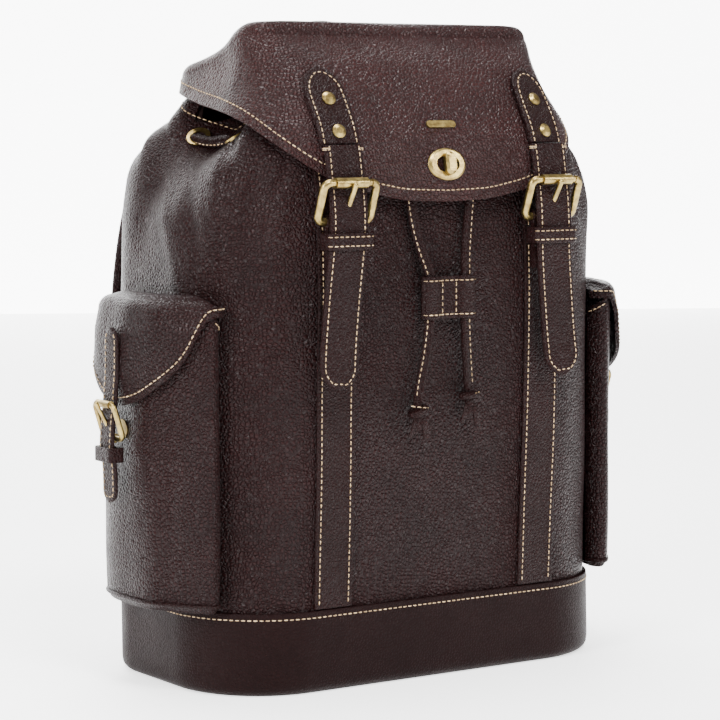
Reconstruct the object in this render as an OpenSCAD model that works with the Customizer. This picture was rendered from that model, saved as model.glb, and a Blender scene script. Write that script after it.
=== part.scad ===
// Leather rucksack: drawstring body, buckled flap, two side pockets, shoulder straps.
// Frame: +Z up, front faces -Y, origin at the middle of the resting base.

/* [Body] */
// Width of the body between its two sides, without the pockets
body_w = 300; // [294:1:306]
// Height of the gathered mouth above the ground
mouth_h = 374; // [370:1:378]
// Height of the base wrap
base_h = 51; // [47:1:55]
// Thickness of one leather panel
leather = 2.4; // [2.0:0.1:2.5]

/* [Flap and closures] */
// Distance of each closure strap from the middle
strap_x = 77; // [74:1:80]
// Width of a closure strap
strap_w = 27; // [25:1:28]
// Thickness of a closure strap
strap_t = 3; // [2.6:0.1:3.2]
// Radius of the buckle wire
wire_r = 2.5; // [2.2:0.1:2.7]
// Width of the turn lock plate
lock_w = 28; // [26:1:32]

/* [Pockets] */
// Depth of a side pocket, from the body's side to its face
pocket_depth = 26; // [24:1:28]
// Height of a side pocket's open top above the ground
pocket_top = 236; // [232:1:238]

/* [Carrying] */
// Width of a shoulder strap's padded part
pad_w = 54; // [48:1:58]
// Thickness of a shoulder strap's padded part
pad_t = 9; // [7:0.5:10]
// Radius of the drawstring
cord_r = 2.5; // [2.2:0.1:2.6]

/* [Hidden] */

$fn = 40;
gap = 0.3;            // between two soft layers
brown = [0.24, 0.13, 0.12];
dark_brown = [0.16, 0.09, 0.08];
lining_tan = [0.45, 0.36, 0.26];
brass = [0.72, 0.62, 0.40];

// Body sections: height, half width, front, front corner, back, back corner, side pleat.
body_rows = [
    [0, 150, 77, 58, 76, 40, 0],
    [50, 150, 78, 62, 77, 40, 0],
    [150, 150.5, 82, 68, 79, 43, 0],
    [240, 151, 84, 71, 80, 44, 0],
    [290, 151, 82.5, 71, 80, 45, 1],
    [315, 149, 79.5, 70, 78, 45, 14],
    [327, 145, 76, 68, 72, 45, 30],
    [336, 138, 72.5, 63, 66, 44, 42],
    [347, 129, 65, 58, 57.5, 42, 48],
    [365, 115, 51, 46, 48, 36, 50],
    [374, 108, 45, 41, 43, 33, 50]];
// Flap sections: height, half width, front, front corner, back, back corner.
flap_rows = [
    [296, 128, 92, 62, 56, 30],
    [315, 129, 90, 62, 56, 30],
    [333, 129, 86.6, 60, 56, 30],
    [345, 126, 81.5, 56, 56, 30],
    [353, 122, 76, 52, 56, 30],
    [365, 114, 69, 45, 56, 28],
    [383, 108, 56, 34, 56, 22],
    [397, 108, 40, 18, 56, 16],
    [406, 107, 26, 12, 56, 14]];
// Flap's lower edge and shoulder, by the share of the way round from front to back.
flap_edge = [[0, 296.5], [0.085, 297.5], [0.164, 303], [0.217, 309.5], [0.254, 315.5],
    [0.316, 331], [0.367, 343], [0.41, 349], [0.452, 352], [0.528, 356], [0.602, 361],
    [0.664, 365], [0.726, 366], [1, 366]];
flap_shoulder = [[0, 406], [0.36, 406], [0.4, 404], [0.43, 400], [0.47, 394], [0.5, 390],
    [0.545, 386], [0.6, 382], [0.65, 380], [0.7, 379], [0.85, 377], [1, 376]];
// Middle line of the flap's top, front to back.
flap_ridge = [[-40, 405], [-26, 406], [0, 400], [20, 393], [40, 383], [56, 376]];

scale_w = body_w / 300;
scale_z = mouth_h / 374;
function col(rows, z, c) = lookup(z, [for (r = rows) [r[0], r[c]]]);
function body_sec(z, d) = let (h = z / scale_z)
    [col(body_rows, h, 1) * scale_w + d, col(body_rows, h, 2) + d, col(body_rows, h, 3) + d,
     col(body_rows, h, 4) + d, col(body_rows, h, 5) + d];
function flap_sec(z, d) =
    [col(flap_rows, z, 1) * scale_w + d, col(flap_rows, z, 2) + d, col(flap_rows, z, 3) + d,
     col(flap_rows, z, 4) + d, col(flap_rows, z, 5) + d];

// Lengths along half of a section, from the front middle: end of front, corner, side, corner, back.
function runs(s) = let (e1 = s[0] - s[2], e2 = e1 + PI / 2 * s[2], e3 = e2 + s[1] - s[2] + s[3] - s[4],
    e4 = e3 + PI / 2 * s[4]) [e1, e2, e3, e4, e4 + s[0] - s[4]];
// Point at length u along half a section.
function half_pt(s, u) = let (e = runs(s))
    u < e[0] ? [u, -s[1]] :
    u < e[1] ? let (g = (u - e[0]) / s[2] * 180 / PI)
        [e[0] + s[2] * sin(g), -(s[1] - s[2]) - s[2] * cos(g)] :
    u < e[2] ? [s[0], -(s[1] - s[2]) + u - e[1]] :
    u < e[3] ? let (g = (u - e[2]) / s[4] * 180 / PI)
        [s[0] - s[4] + s[4] * cos(g), s[3] - s[4] + s[4] * sin(g)] :
    [s[0] - s[4] - (u - e[3]), s[3]];

// Body surface: w is the length round from the front middle on the panel's outside, d is outward.
function body_half(z) = runs(body_sec(z, 0))[4];
function body_pt(w, z, d = 0) = let (
    s0 = body_sec(z, 0), s = body_sec(z, d), e0 = runs(s0), e = runs(s), u = min(abs(w), e0[4]),
    v = u < e0[0] ? u : u < e0[1] ? e[0] + (u - e0[0]) / (e0[1] - e0[0]) * (e[1] - e[0]) :
        u < e0[2] ? e[1] + u - e0[1] :
        u < e0[3] ? e[2] + (u - e0[2]) / (e0[3] - e0[2]) * (e[3] - e[2]) : e[3] + u - e0[3],
    p = half_pt(s, v), mid = (s0[3] - s0[1]) / 2, span = (s0[3] + s0[1]) / 2,
    t = max(-1, min(1, (p[1] - mid) / span)), fold = col(body_rows, z / scale_z, 6) * pow(cos(90 * t), 3))
    [(w < 0 ? -1 : 1) * (p[0] - fold), p[1], z];
// The same, measured from the back middle.
function back_pt(v, z, d = 0) = body_pt((v < 0 ? -1 : 1) * (body_half(z) - abs(v)), z, d);
// Height of the mouth's rim: it dips over each side pleat.
function rim(w) = let (p = body_pt(w, 350 * scale_z), t = (p[1] + 1) / 58)
    mouth_h - (abs(p[0]) > 60 ? 22 * pow(cos(90 * max(-1, min(1, t))), 2) : 0);

// Outward direction of the body surface.
function body_dir(w, z) = let (n = cross(body_pt(w + 1, z) - body_pt(w - 1, z), body_pt(w, z + 1) - body_pt(w, z - 1)))
    n / norm(n);

// Flap: t from -1 to 1 round from the back, m from 0 at the edge to 1 at the middle of the top.
wall_end = 0.6;
bend_end = 0.75;
bend_r = 8;
function flap_wall(w, z, d = 0) = let (s0 = flap_sec(z, 0), s = flap_sec(z, d), e0 = runs(s0), e = runs(s),
    u = min(abs(w), e0[4]),
    v = u < e0[0] ? u : u < e0[1] ? e[0] + (u - e0[0]) / (e0[1] - e0[0]) * (e[1] - e[0]) :
        u < e0[2] ? e[1] + u - e0[1] :
        u < e0[3] ? e[2] + (u - e0[2]) / (e0[3] - e0[2]) * (e[3] - e[2]) : e[3] + u - e0[3],
    p = half_pt(s, v)) [(w < 0 ? -1 : 1) * p[0], p[1], z];
function flap_pt(t, m, d = 0) = let (
    low = lookup(abs(t), flap_edge), high = lookup(abs(t), flap_shoulder), r = bend_r,
    z = low + (high - r - low) * min(1, m / wall_end),
    p = flap_wall(t * runs(flap_sec(z, 0))[4], z, d),
    g = 90 * max(0, min(1, (m - wall_end) / (bend_end - wall_end))),
    far = norm([p[0], p[1] - 10]), inset = (r + d) * (1 - cos(g)),
    k = (1 - inset / far) * (1 - max(0, (m - bend_end) / (1 - bend_end))),
    q = [p[0] * k, 10 + (p[1] - 10) * k],
    share = pow(min(1, k / (1 - r / far)), 3),
    top = lookup(q[1], flap_ridge) * (1 - share) + high * share)
    m <= wall_end ? p : [q[0], q[1], m <= bend_end ? high - r + (r + d) * sin(g) : top + d];

// ---- solids from grids of points ----
function flat(rows) = [for (r = rows) for (p = r) p];
// A sheet with thickness between two grids, rows of equal length; closed joins each row's ends.
module sheet(a, b, closed = false) {
    m = len(a);
    n = len(a[0]);
    last = closed ? n : n - 1;
    function ia(i, j) = i * n + j % n;
    function ib(i, j) = m * n + i * n + j % n;
    skin = [for (i = [0:m - 2]) for (j = [0:last - 1]) each [
        [ia(i, j), ia(i + 1, j), ia(i + 1, j + 1)], [ia(i, j), ia(i + 1, j + 1), ia(i, j + 1)],
        [ib(i, j), ib(i + 1, j + 1), ib(i + 1, j)], [ib(i, j), ib(i, j + 1), ib(i + 1, j + 1)]]];
    ends = [for (j = [0:last - 1]) each [
        [ia(0, j), ia(0, j + 1), ib(0, j + 1)], [ia(0, j), ib(0, j + 1), ib(0, j)],
        [ia(m - 1, j), ib(m - 1, j + 1), ia(m - 1, j + 1)], [ia(m - 1, j), ib(m - 1, j), ib(m - 1, j + 1)]]];
    sides = closed ? [] : [for (i = [0:m - 2]) each [
        [ia(i, 0), ib(i + 1, 0), ia(i + 1, 0)], [ia(i, 0), ib(i, 0), ib(i + 1, 0)],
        [ia(i, n - 1), ia(i + 1, n - 1), ib(i + 1, n - 1)], [ia(i, n - 1), ib(i + 1, n - 1), ib(i, n - 1)]]];
    polyhedron(concat(flat(a), flat(b)), concat(skin, ends, sides));
}
// A solid through closed rings, flat at both ends.
module rings_solid(rings) {
    m = len(rings);
    n = len(rings[0]);
    polyhedron(flat(rings), concat(
        [[for (j = [0:n - 1]) j]], [[for (j = [n - 1:-1:0]) (m - 1) * n + j]],
        [for (i = [0:m - 2]) for (j = [0:n - 1]) each let (k = (j + 1) % n) [
            [i * n + j, (i + 1) * n + j, (i + 1) * n + k], [i * n + j, (i + 1) * n + k, i * n + k]]]));
}
// Points between the route's own points.
function mix_pt(p, i, f) = let (n = len(p), a = p[max(0, i - 1)], b = p[i], c = p[min(n - 1, i + 1)], e = p[min(n - 1, i + 2)])
    0.5 * (2 * b + (c - a) * f + (2 * a - 5 * b + 4 * c - e) * f * f + (3 * b - a - 3 * c + e) * f * f * f);
function smooth(p, steps) = concat([for (i = [0:len(p) - 2]) for (k = [0:steps - 1]) mix_pt(p, i, k / steps)], [p[len(p) - 1]]);
function unit(v) = v / norm(v);
// Flat-ended tube along a route; up is any direction that the route never follows.
module route_tube(path, r, up, sides = 8) {
    n = len(path);
    rings_solid([for (i = [0:n - 1]) let (
        f = unit(path[min(n - 1, i + 1)] - path[max(0, i - 1)]),
        x = unit(cross(up, f)), y = cross(f, x))
        [for (k = [0:sides - 1]) path[i] + r * (cos(k * 360 / sides) * x + sin(k * 360 / sides) * y)]]);
}
// Puts children, drawn along +Z, on the body surface.
module on_body(w, z, d = 0) {
    n = body_dir(w, z);
    translate(body_pt(w, z) + n * d) rotate([0, acos(n[2]), atan2(n[1], n[0])]) children();
}
module both() {
    children();
    mirror([1, 0, 0]) children();
}
module tube(r_out, r_in, h) {
    difference() {
        cylinder(r = r_out, h = h);
        translate([0, 0, -1]) cylinder(r = r_in, h = h + 2);
    }
}

// A grid of body points: heights zs, lengths ws, distance d outward.
function body_grid(zs, ws, d) = [for (z = zs) [for (w = ws) body_pt(w, z, d)]];
function steps(a, b, n) = [for (i = [0:n]) a + (b - a) * i / n];
// Cap over a closed grid that rises to one middle point.
module cap_sheet(a, b, top_a, top_b) {
    m = len(a);
    n = len(a[0]);
    function ia(i, j) = i * n + j % n;
    function ib(i, j) = m * n + i * n + j % n;
    ta = 2 * m * n;
    polyhedron(concat(flat(a), flat(b), [top_a, top_b]), concat(
        [for (i = [0:m - 2]) for (j = [0:n - 1]) each [
            [ia(i, j), ia(i + 1, j), ia(i + 1, j + 1)], [ia(i, j), ia(i + 1, j + 1), ia(i, j + 1)],
            [ib(i, j), ib(i + 1, j + 1), ib(i + 1, j)], [ib(i, j), ib(i, j + 1), ib(i + 1, j + 1)]]],
        [for (j = [0:n - 1]) each [
            [ia(0, j), ia(0, j + 1), ib(0, j + 1)], [ia(0, j), ib(0, j + 1), ib(0, j)],
            [ia(m - 1, j), ta, ia(m - 1, j + 1)], [ib(m - 1, j), ib(m - 1, j + 1), ta + 1]]]));
}

// ---- body ----
tall = [50, 100, 150, 200, 240, 265, 290, 303, 315, 321, 327, 336, 347, 356, 365];
seam_w = strap_x;
back_v = 92;          // where the side panels meet the back panel, from the back middle
function side_w(z) = body_half(z) - back_v;
// Panel rows end on the rim, so each column has its own last height.
function panel_grid(a, b, n, d, low = base_h - 12) = [for (i = [0:len(tall)])
    [for (j = [0:n]) let (z0 = i == 0 ? low : i < len(tall) ? tall[i] : rim(a),
        w0 = a + ((b == undef ? side_w(z0 * scale_z) : b) - a) * j / n, top = rim(w0),
        z = i == len(tall) ? top : min(z0 * scale_z, top - (len(tall) - i) * 1.5),
        w = a + ((b == undef ? side_w(z) : b) - a) * j / n) body_pt(w, z, d)]];
module front_panel() color(brown) difference() {
    sheet(panel_grid(-seam_w + gap, seam_w - gap, 14, 0), panel_grid(-seam_w + gap, seam_w - gap, 14, -leather));
    eyelet_holes();
}
module side_panel_left() color(brown) mirror([1, 0, 0]) side_panel_right();
module side_panel_right() color(brown) difference() {
    sheet(panel_grid(seam_w, undef, 30, 0), panel_grid(seam_w, undef, 30, -leather));
    eyelet_holes();
}
function back_grid(d, half, low, top_drop = 0) = [for (i = [0:len(tall)])
    [for (j = [0:14]) let (v = half * (1 - j / 7), z = i == 0 ? low : i < len(tall) ?
        min(tall[i] * scale_z, mouth_h - top_drop - (len(tall) - i) * 1.5) : mouth_h - top_drop)
        back_pt(v, z, d)]];
module back_panel() color(brown)
    sheet(back_grid(0, back_v - gap, base_h - 12), back_grid(-leather, back_v - gap, base_h - 12));
module back_pad() color(lining_tan)
    sheet(back_grid(-lining_in - 1.4, back_v - 8, 8, 52), back_grid(-lining_in - 6.5, back_v - 8, 8, 52));
// Wrap of plain leather round the lower body, with a flat sole.
boot_rows = [[1.2, -4.2], [2.6, -2.4], [5, -0.8], [9, 0], [30, 0], [base_h, 0]];
function body_ring(z, d, n) = [for (j = [0:n - 1]) body_pt((j / n * 2 - 1) * body_half(max(z, 1)), z, d)];
module base_boot() color(dark_brown) {
    sheet([for (r = boot_rows) body_ring(r[0], r[1] + leather + 0.5, 64)],
          [for (r = boot_rows) body_ring(r[0], r[1] + gap + 0.5, 64)], closed = true);
    sole();
}
// The sole is one flat face, the face the bag stands on.
module sole(t = 2, inset = 3.5, z = 0) {
    hw = 150 * scale_w - inset;
    translate([0, 0, z]) linear_extrude(height = t) union() {
        translate([-(hw - 55), -77 + inset]) square([2 * (hw - 55), 153 - 2 * inset]);
        translate([-hw, -22 + inset]) square([2 * hw, 58 - inset]);
        for (s = [-1, 1]) {
            translate([s * (hw - 55), -22 + inset]) circle(r = 55);
            translate([s * (hw - 40), 36 - inset]) circle(r = 40);
        }
    }
}
module base_board() color(lining_tan) sole(2.4, 7, 2.4);
// Depth of the lining's outer side below the leather's outer face.
lining_in = leather + gap + 0.5;
lining_zs = concat([8, 20], [for (z = tall) z * scale_z]);
function lining_ring(k, d, n = 72) = [for (j = [0:n - 1]) let (f = j / n * 2 - 1,
    top = rim(f * body_half(350 * scale_z)) - 5,
    z = min(lining_zs[k], top - (len(lining_zs) - 1 - k) * 1.5)) body_pt(f * body_half(z), z, d)];
module lining() color(lining_tan) {
    difference() {
        sheet([for (k = [0:len(lining_zs) - 1]) lining_ring(k, -lining_in)],
              [for (k = [0:len(lining_zs) - 1]) lining_ring(k, -lining_in - 0.9)], closed = true);
        eyelet_holes();
    }
    sole(1, 8.5, 5.4);
}
// Facing of turned leather inside the rim.
facing_drop = [28, 20, 10, 1];
function facing_ring(k, d, n = 72) = [for (j = [0:n - 1]) let (f = j / n * 2 - 1,
    z = rim(f * body_half(350 * scale_z)) - facing_drop[k]) body_pt(f * body_half(z), z, d)];
module mouth_facing() color(brown) difference() {
    sheet([for (k = [0:3]) facing_ring(k, -lining_in - 3.3)],
          [for (k = [0:3]) facing_ring(k, -lining_in - 4.45)], closed = true);
    eyelet_holes();
}
// Padded wall of the sleeve at the back.
divider_y = [51, 55];
divider_h = 262;
module laptop_divider() color(lining_tan) translate([0, divider_y[1], 7]) rotate([90, 0, 0])
    linear_extrude(height = divider_y[1] - divider_y[0]) union() {
        translate([-100, 0]) square([200, divider_h - 7]);
        translate([-85, divider_h - 8]) square([170, 16]);
        for (s = [-1, 1]) translate([s * 85, divider_h - 7]) circle(r = 15);
    }
// Sewn strips up the front, from the base wrap to the mouth.
strip_zs = [base_h + 0.6, 100, 150, 200, 240, 265, 290, 303, 315, 327, 336, 342];
module front_strips() color(dark_brown) both()
    sheet(body_grid(strip_zs, steps(strap_x - strap_w / 2, strap_x + strap_w / 2, 4), gap + 2.2),
          body_grid(strip_zs, steps(strap_x - strap_w / 2, strap_x + strap_w / 2, 4), gap));

// ---- drawstring ----
eye_z = 334;
eye_ws = [25, 166, 203];   // lengths round the body: by the lock, before the pleat, behind it
eye_r = 4.6;
module eyelet_holes() both() for (w = eye_ws) on_body(w, eye_z, -12) cylinder(r = eye_r + 0.9, h = 20);
module eyelet(h) {
    tube(eye_r + 0.6, eye_r, h);
    translate([0, 0, h - 1]) tube(eye_r + 2.9, eye_r, 1);
    tube(eye_r + 3, eye_r, 0.8);
}
module neck_eyelets() color(brass) both() for (w = eye_ws) on_body(w, eye_z, -8.6) eyelet(w < 100 ? 10.1 : 11.4);
// The cord: inside round the back, out over each pleat, inside again, out by the lock.
neck_in = -13.2;
in_z = eye_z - 5;
function eye_pt(w, d) = body_pt(w, eye_z) + d * body_dir(w, eye_z);
neck_run = concat(
    [for (w = [body_half(in_z), 345, 320, 300, 280, 262, 245, 232, 220]) body_pt(w, in_z, neck_in)],
    [eye_pt(209, -12.8), eye_pt(203.6, -9.6), eye_pt(203, -5), eye_pt(203, 0), eye_pt(202.4, 4), eye_pt(198, 7),
     (eye_pt(198, 7) * 2 + eye_pt(171, 7)) / 3 - [0, 0, 1], (eye_pt(198, 7) + 2 * eye_pt(171, 7)) / 3 - [0, 0, 1],
     eye_pt(171, 7), eye_pt(166.6, 4), eye_pt(166, 0), eye_pt(166, -5), eye_pt(165.4, -9.6), eye_pt(160, -12.8)],
    [for (w = [148, 134, 120, 105, 90, 75, 60, 45]) body_pt(w, in_z, neck_in)],
    [eye_pt(31, -12.8), eye_pt(25.6, -9.6), eye_pt(25, -5), eye_pt(25, 0.4)]);
module neck_cord() color(dark_brown) both() route_tube(smooth(neck_run, 2), cord_r, [0, 0, 1]);
// Each tail leaves its eyelet by the lock, runs through the slider and ends in a knot.
slider_x = 13.5;
slider_y = -91;
slider_z = 225;
tail_left = [[-25, -74.8, 334.8], [-25, -77.6, 335], [-25, -79.9, 332], [-25, -80.9, 326], [-24.8, -82.5, 316], [-24.3, -85.2, 300],
    [-22.5, -86.8, 284], [-18.5, -88.6, 268], [-14.4, -90.4, 256], [-13.5, -91, 250], [-13.5, -91, 226],
    [-14, -90.9, 218], [-16, -90.2, 202], [-19, -89.2, 186], [-20.6, -88.6, 174]];
tail_right = [[25, -74.8, 334.8], [25, -77.6, 335], [25, -79.9, 332], [24.8, -80.9, 326], [23.5, -82.5, 316], [20.5, -85.2, 300],
    [18, -86.8, 284], [15.4, -88.6, 268], [13.8, -90.4, 256], [13.5, -91, 250], [13.5, -91, 226],
    [13.8, -90.9, 218], [15, -90.2, 204], [16.8, -89.2, 190], [18, -88.7, 180]];
module cord_tail_left() color(dark_brown) route_tube(tail_left, cord_r, [1, 0, 0]);
module cord_tail_right() color(dark_brown) route_tube(tail_right, cord_r, [1, 0, 0]);
// A knot: a sewn collar with three short cut ends.
module knot(end) translate(end - [0, 0, 13.3]) {
    cylinder(r1 = 4.6, r2 = 3.9, h = 13);
    for (x = [-3, 0, 3]) translate([x, 0, -11 + abs(x) / 2]) cylinder(r = 1.1, h = 12);
}
module cord_knot_left() color(dark_brown) knot(tail_left[len(tail_left) - 1]);
module cord_knot_right() color(dark_brown) knot(tail_right[len(tail_right) - 1]);
module cord_slider() color(dark_brown) difference() {
    translate([0, slider_y, slider_z]) linear_extrude(height = 26) union() {
        translate([-15.5, -3.4]) square([31, 6.8]);
        for (s = [-1, 1]) translate([s * 15.5, 0]) circle(r = 4.3);
        for (s = [-1, 1]) translate([s * slider_x, 0]) circle(r = 4.3);
    }
    for (s = [-1, 1]) translate([s * slider_x, slider_y, slider_z - 1]) cylinder(r = cord_r + 0.2, h = 28);
}

// ---- flap ----
flap_ms = [0, 0.2, 0.4, 0.6, 0.64, 0.69, 0.75, 0.82, 0.9, 0.96];
flap_n = 84;
function flap_grid(d) = [for (m = flap_ms) [for (j = [0:flap_n - 1]) flap_pt(j / flap_n * 2 - 1, m, d)]];
function flap_dir(w, z) = unit(cross(flap_wall(w + 1, z) - flap_wall(w - 1, z), flap_wall(w, z + 1) - flap_wall(w, z - 1)));
module on_flap(w, z, d = 0) {
    n = flap_dir(w, z);
    translate(flap_wall(w, z) + n * d) rotate([0, acos(n[2]), atan2(n[1], n[0])]) children();
}
lock_z = 319;
module lock_shape(r, half) union() {
    for (s = [-1, 1]) translate([0, s * half]) circle(r = r);
    translate([-r, -half]) square([2 * r, 2 * half]);
}
module lock_slot() on_flap(0, lock_z, -8) linear_extrude(height = 20) lock_shape(4.5, 4);
module flap_leather() color(brown) difference() {
    cap_sheet(flap_grid(0), flap_grid(-leather), flap_pt(0, 1), flap_pt(0, 1, -leather));
    lock_slot();
}
module flap_facing() color(lining_tan) difference() {
    cap_sheet(flap_grid(-leather - gap), flap_grid(-leather - gap - 1),
        flap_pt(0, 1, -leather - gap), flap_pt(0, 1, -leather - gap - 1));
    lock_slot();
}
// Upper end of each closure strap, sewn and riveted down.
upper_zs = [[332, 1], [345, 1], [357, 1], [368, 1], [373, 0.72], [377.5, 0.12]];
function upper_grid(d) = [for (r = upper_zs) [for (x = steps(-1, 1, 4)) flap_wall(strap_x + x * r[1] * strap_w / 2, r[0], d)]];
module flap_straps() color(dark_brown) both() difference() {
    sheet(upper_grid(gap + strap_t), upper_grid(gap));
    for (z = [357, 338]) on_flap(strap_x, z, -3) cylinder(r = 1.6, h = 12);
}
module flap_rivets() color(brass) both() for (z = [357, 338]) on_flap(strap_x, z, gap + strap_t + 0.1) {
    translate([0, 0, -3]) cylinder(r = 1.5, h = 3.1);
    cylinder(r = 4.3, h = 0.8);
    translate([0, 0, 0.8]) cylinder(r1 = 4.3, r2 = 2.2, h = 1.3);
}
module turnlock_plate() color(brass) on_flap(0, lock_z, gap) difference() {
    union() {
        scale([0.72, 1, 1]) cylinder(r1 = lock_w / 2, r2 = lock_w / 2 - 0.4, h = 0.8, $fn = 72);
        translate([0, 0, 0.8]) scale([0.72, 1, 1]) cylinder(r1 = lock_w / 2 - 0.4, r2 = lock_w / 2 - 2, h = 0.9, $fn = 72);
    }
    translate([0, 0, -1]) linear_extrude(height = 4) lock_shape(4.5, 4);
}
// Knob on its post; the post turns in the slot and ends before the body.
module turnlock_knob() color(brass) on_flap(0, lock_z, 0) {
    translate([0, 0, -5.2]) cylinder(r = 2.5, h = 8.1);
    hull() for (s = [-1, 1]) translate([s * 3.4, 0, 2.5]) {
        cylinder(r = 3.6, h = 2.4);
        translate([-s * 0.6, 0, 0]) cylinder(r = 2.6, h = 4.6);
    }
    translate([0, 0, -5.2]) cylinder(r = 5.5, h = 0.5);
}
module turnlock_base() color(brass) on_body(0, lock_z, gap) linear_extrude(height = 1.4) difference() {
    lock_shape(10.5, lock_w / 2 - 10.5);
    lock_shape(4.5, 4);
}
module badge() color(brass) on_flap(0, 343, gap) linear_extrude(height = 1.2) lock_shape(2.2, 8.6);

// ---- closure straps with their buckles ----
bar_y = -91;
bar_z = 286;
top_y = -99.5;
top_z = 309;
bars = norm([top_y - bar_y, top_z - bar_z]);
tilt = atan((bar_y - top_y) / (top_z - bar_z));
// Middle of the strap from the flap to its tip: depth, height, share of width.
strap_run = [[-90.3, 331, 1], [-92.2, 322, 1], [-94.4, 309, 1], [-96.2, 298, 1], [-97.2, 288, 1], [-97.4, 276, 1],
    [-96.6, 262, 1], [-96, 240, 1], [-96, 215, 1], [-96.8, 200, 1], [-97.6, 192, 0.66], [-98.2, 186, 0.12]];
// How far the free end swings outward, by height.
lean = [[186, 8], [200, 7], [240, 3.4], [262, 1.3], [276, 0.4], [290, 0]];
function run_dir(r, i) = let (a = r[max(0, i - 1)], b = r[min(len(r) - 1, i + 1)]) unit([b[0] - a[0], b[1] - a[1]]);
function band(run, x0, half, off) = [for (i = [len(run) - 1:-1:0]) let (t = run_dir(run, i))
    [for (k = steps(-1, 1, 2)) [x0 + k * half * run[i][2], run[i][0] + t[1] * off, run[i][1] - t[0] * off]]];
function swung(g) = [for (r = g) [for (p = r) [p[0] + lookup(p[2], lean), p[1], p[2]]]];
module closure_strap_right() color(dark_brown) difference() {
    sheet(swung(band(strap_run, strap_x, strap_w / 2, strap_t / 2)), swung(band(strap_run, strap_x, strap_w / 2, -strap_t / 2)));
    translate([strap_x - 2.8, -104, 285.6]) cube([5.6, 14, 15]);
}
module closure_strap_left() mirror([1, 0, 0]) closure_strap_right();
// Drawn with the lower bar at the origin along X and the upper bar above it.
module in_buckle() translate([strap_x, bar_y, bar_z]) rotate([tilt, 0, 0]) children();
module wire_x(x0, x1, r) translate([x0, 0, 0]) rotate([0, 90, 0]) cylinder(r = r, h = x1 - x0);
module wire_corner(r) rotate([90, 0, 0]) rotate_extrude(angle = 90) translate([4, 0]) circle(r = r);
module frame_wire(half, h, r, bar_r) {
    wire_x(-half + 4, half - 4, r);
    translate([0, 0, h]) wire_x(-half + 4, half - 4, bar_r);
    for (s = [-1, 1]) {
        translate([s * half, 0, 4]) cylinder(r = r, h = h - 8);
        mirror([s < 0 ? 1 : 0, 0, 0]) {
            translate([half - 4, 0, h - 4]) wire_corner(r);
            translate([half - 4, 0, 4]) mirror([0, 0, 1]) wire_corner(r);
        }
    }
}
module buckle_frame_right() color(brass) in_buckle() frame_wire(18.5, bars, wire_r, 2);
module buckle_frame_left() mirror([1, 0, 0]) buckle_frame_right();
module buckle_roller_right() color(brass) in_buckle() translate([-11.2, 0, bars]) rotate([0, 90, 0]) tube(3.2, 2.06, 22.4);
module buckle_roller_left() mirror([1, 0, 0]) buckle_roller_right();
prong_turn = 11.8;
module buckle_prong_right() color(brass) in_buckle() rotate([prong_turn, 0, 0]) {
    difference() {
        union() {
            translate([-2.2, 0, 0]) rotate([0, 90, 0]) cylinder(r = 4.1, h = 4.4);
            cylinder(r = 1.6, h = 25.4);
            translate([0, 0, 25.4]) sphere(r = 1.6);
        }
        translate([-4, 0, 0]) rotate([0, 90, 0]) cylinder(r = wire_r + 0.06, h = 8);
    }
}
module buckle_prong_left() mirror([1, 0, 0]) buckle_prong_right();
// Leather turned round the lower bar, with the snap's socket on its back.
module buckle_chape_right() color(dark_brown) difference() {
    union() {
        translate([strap_x - 13, bar_y, bar_z]) rotate([0, 90, 0]) cylinder(r = 4.2, h = 26);
        translate([strap_x - 13, -94.6, 254]) cube([26, 4.4, 30]);
        translate([strap_x, -90.3, 262]) rotate([-90, 0, 0]) cylinder(r = 7, h = 2);
    }
    translate([strap_x - 14, bar_y, bar_z]) rotate([0, 90, 0]) cylinder(r = wire_r + 0.06, h = 28);
    translate([strap_x - 2.8, -97, 280.8]) cube([5.6, 14, 12]);
}
module buckle_chape_left() mirror([1, 0, 0]) buckle_chape_right();
module loop(x0, y0, z0, x, y, z, t) translate([x0, y0, z0]) difference() {
    cube([x, y, z]);
    translate([t, t, -1]) cube([x - 2 * t, y - 2 * t, z + 2]);
}
module buckle_keeper_right() color(dark_brown) loop(strap_x - 16.5, -101.6, 269.5, 33, 13.4, 10, 2);
module buckle_keeper_left() mirror([1, 0, 0]) buckle_keeper_right();
// Studs of the snaps that hold the straps and the pocket straps down.
module snap_studs() color(brass) both() {
    translate([strap_x, -86.1, 262]) rotate([90, 0, 0]) cylinder(r = 6, h = 0.8);
    translate([pocket_face + 1.1, pocket_mid, 160]) rotate([0, 90, 0]) cylinder(r = 6, h = 0.9);
}

// ---- side pockets ----
pocket_mid = -3;
pocket_out = 3;          // how far the straps stand off for the lid's bulge
pocket_low = base_h + 1;
pocket_face = 151 * scale_w + pocket_depth;
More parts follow.
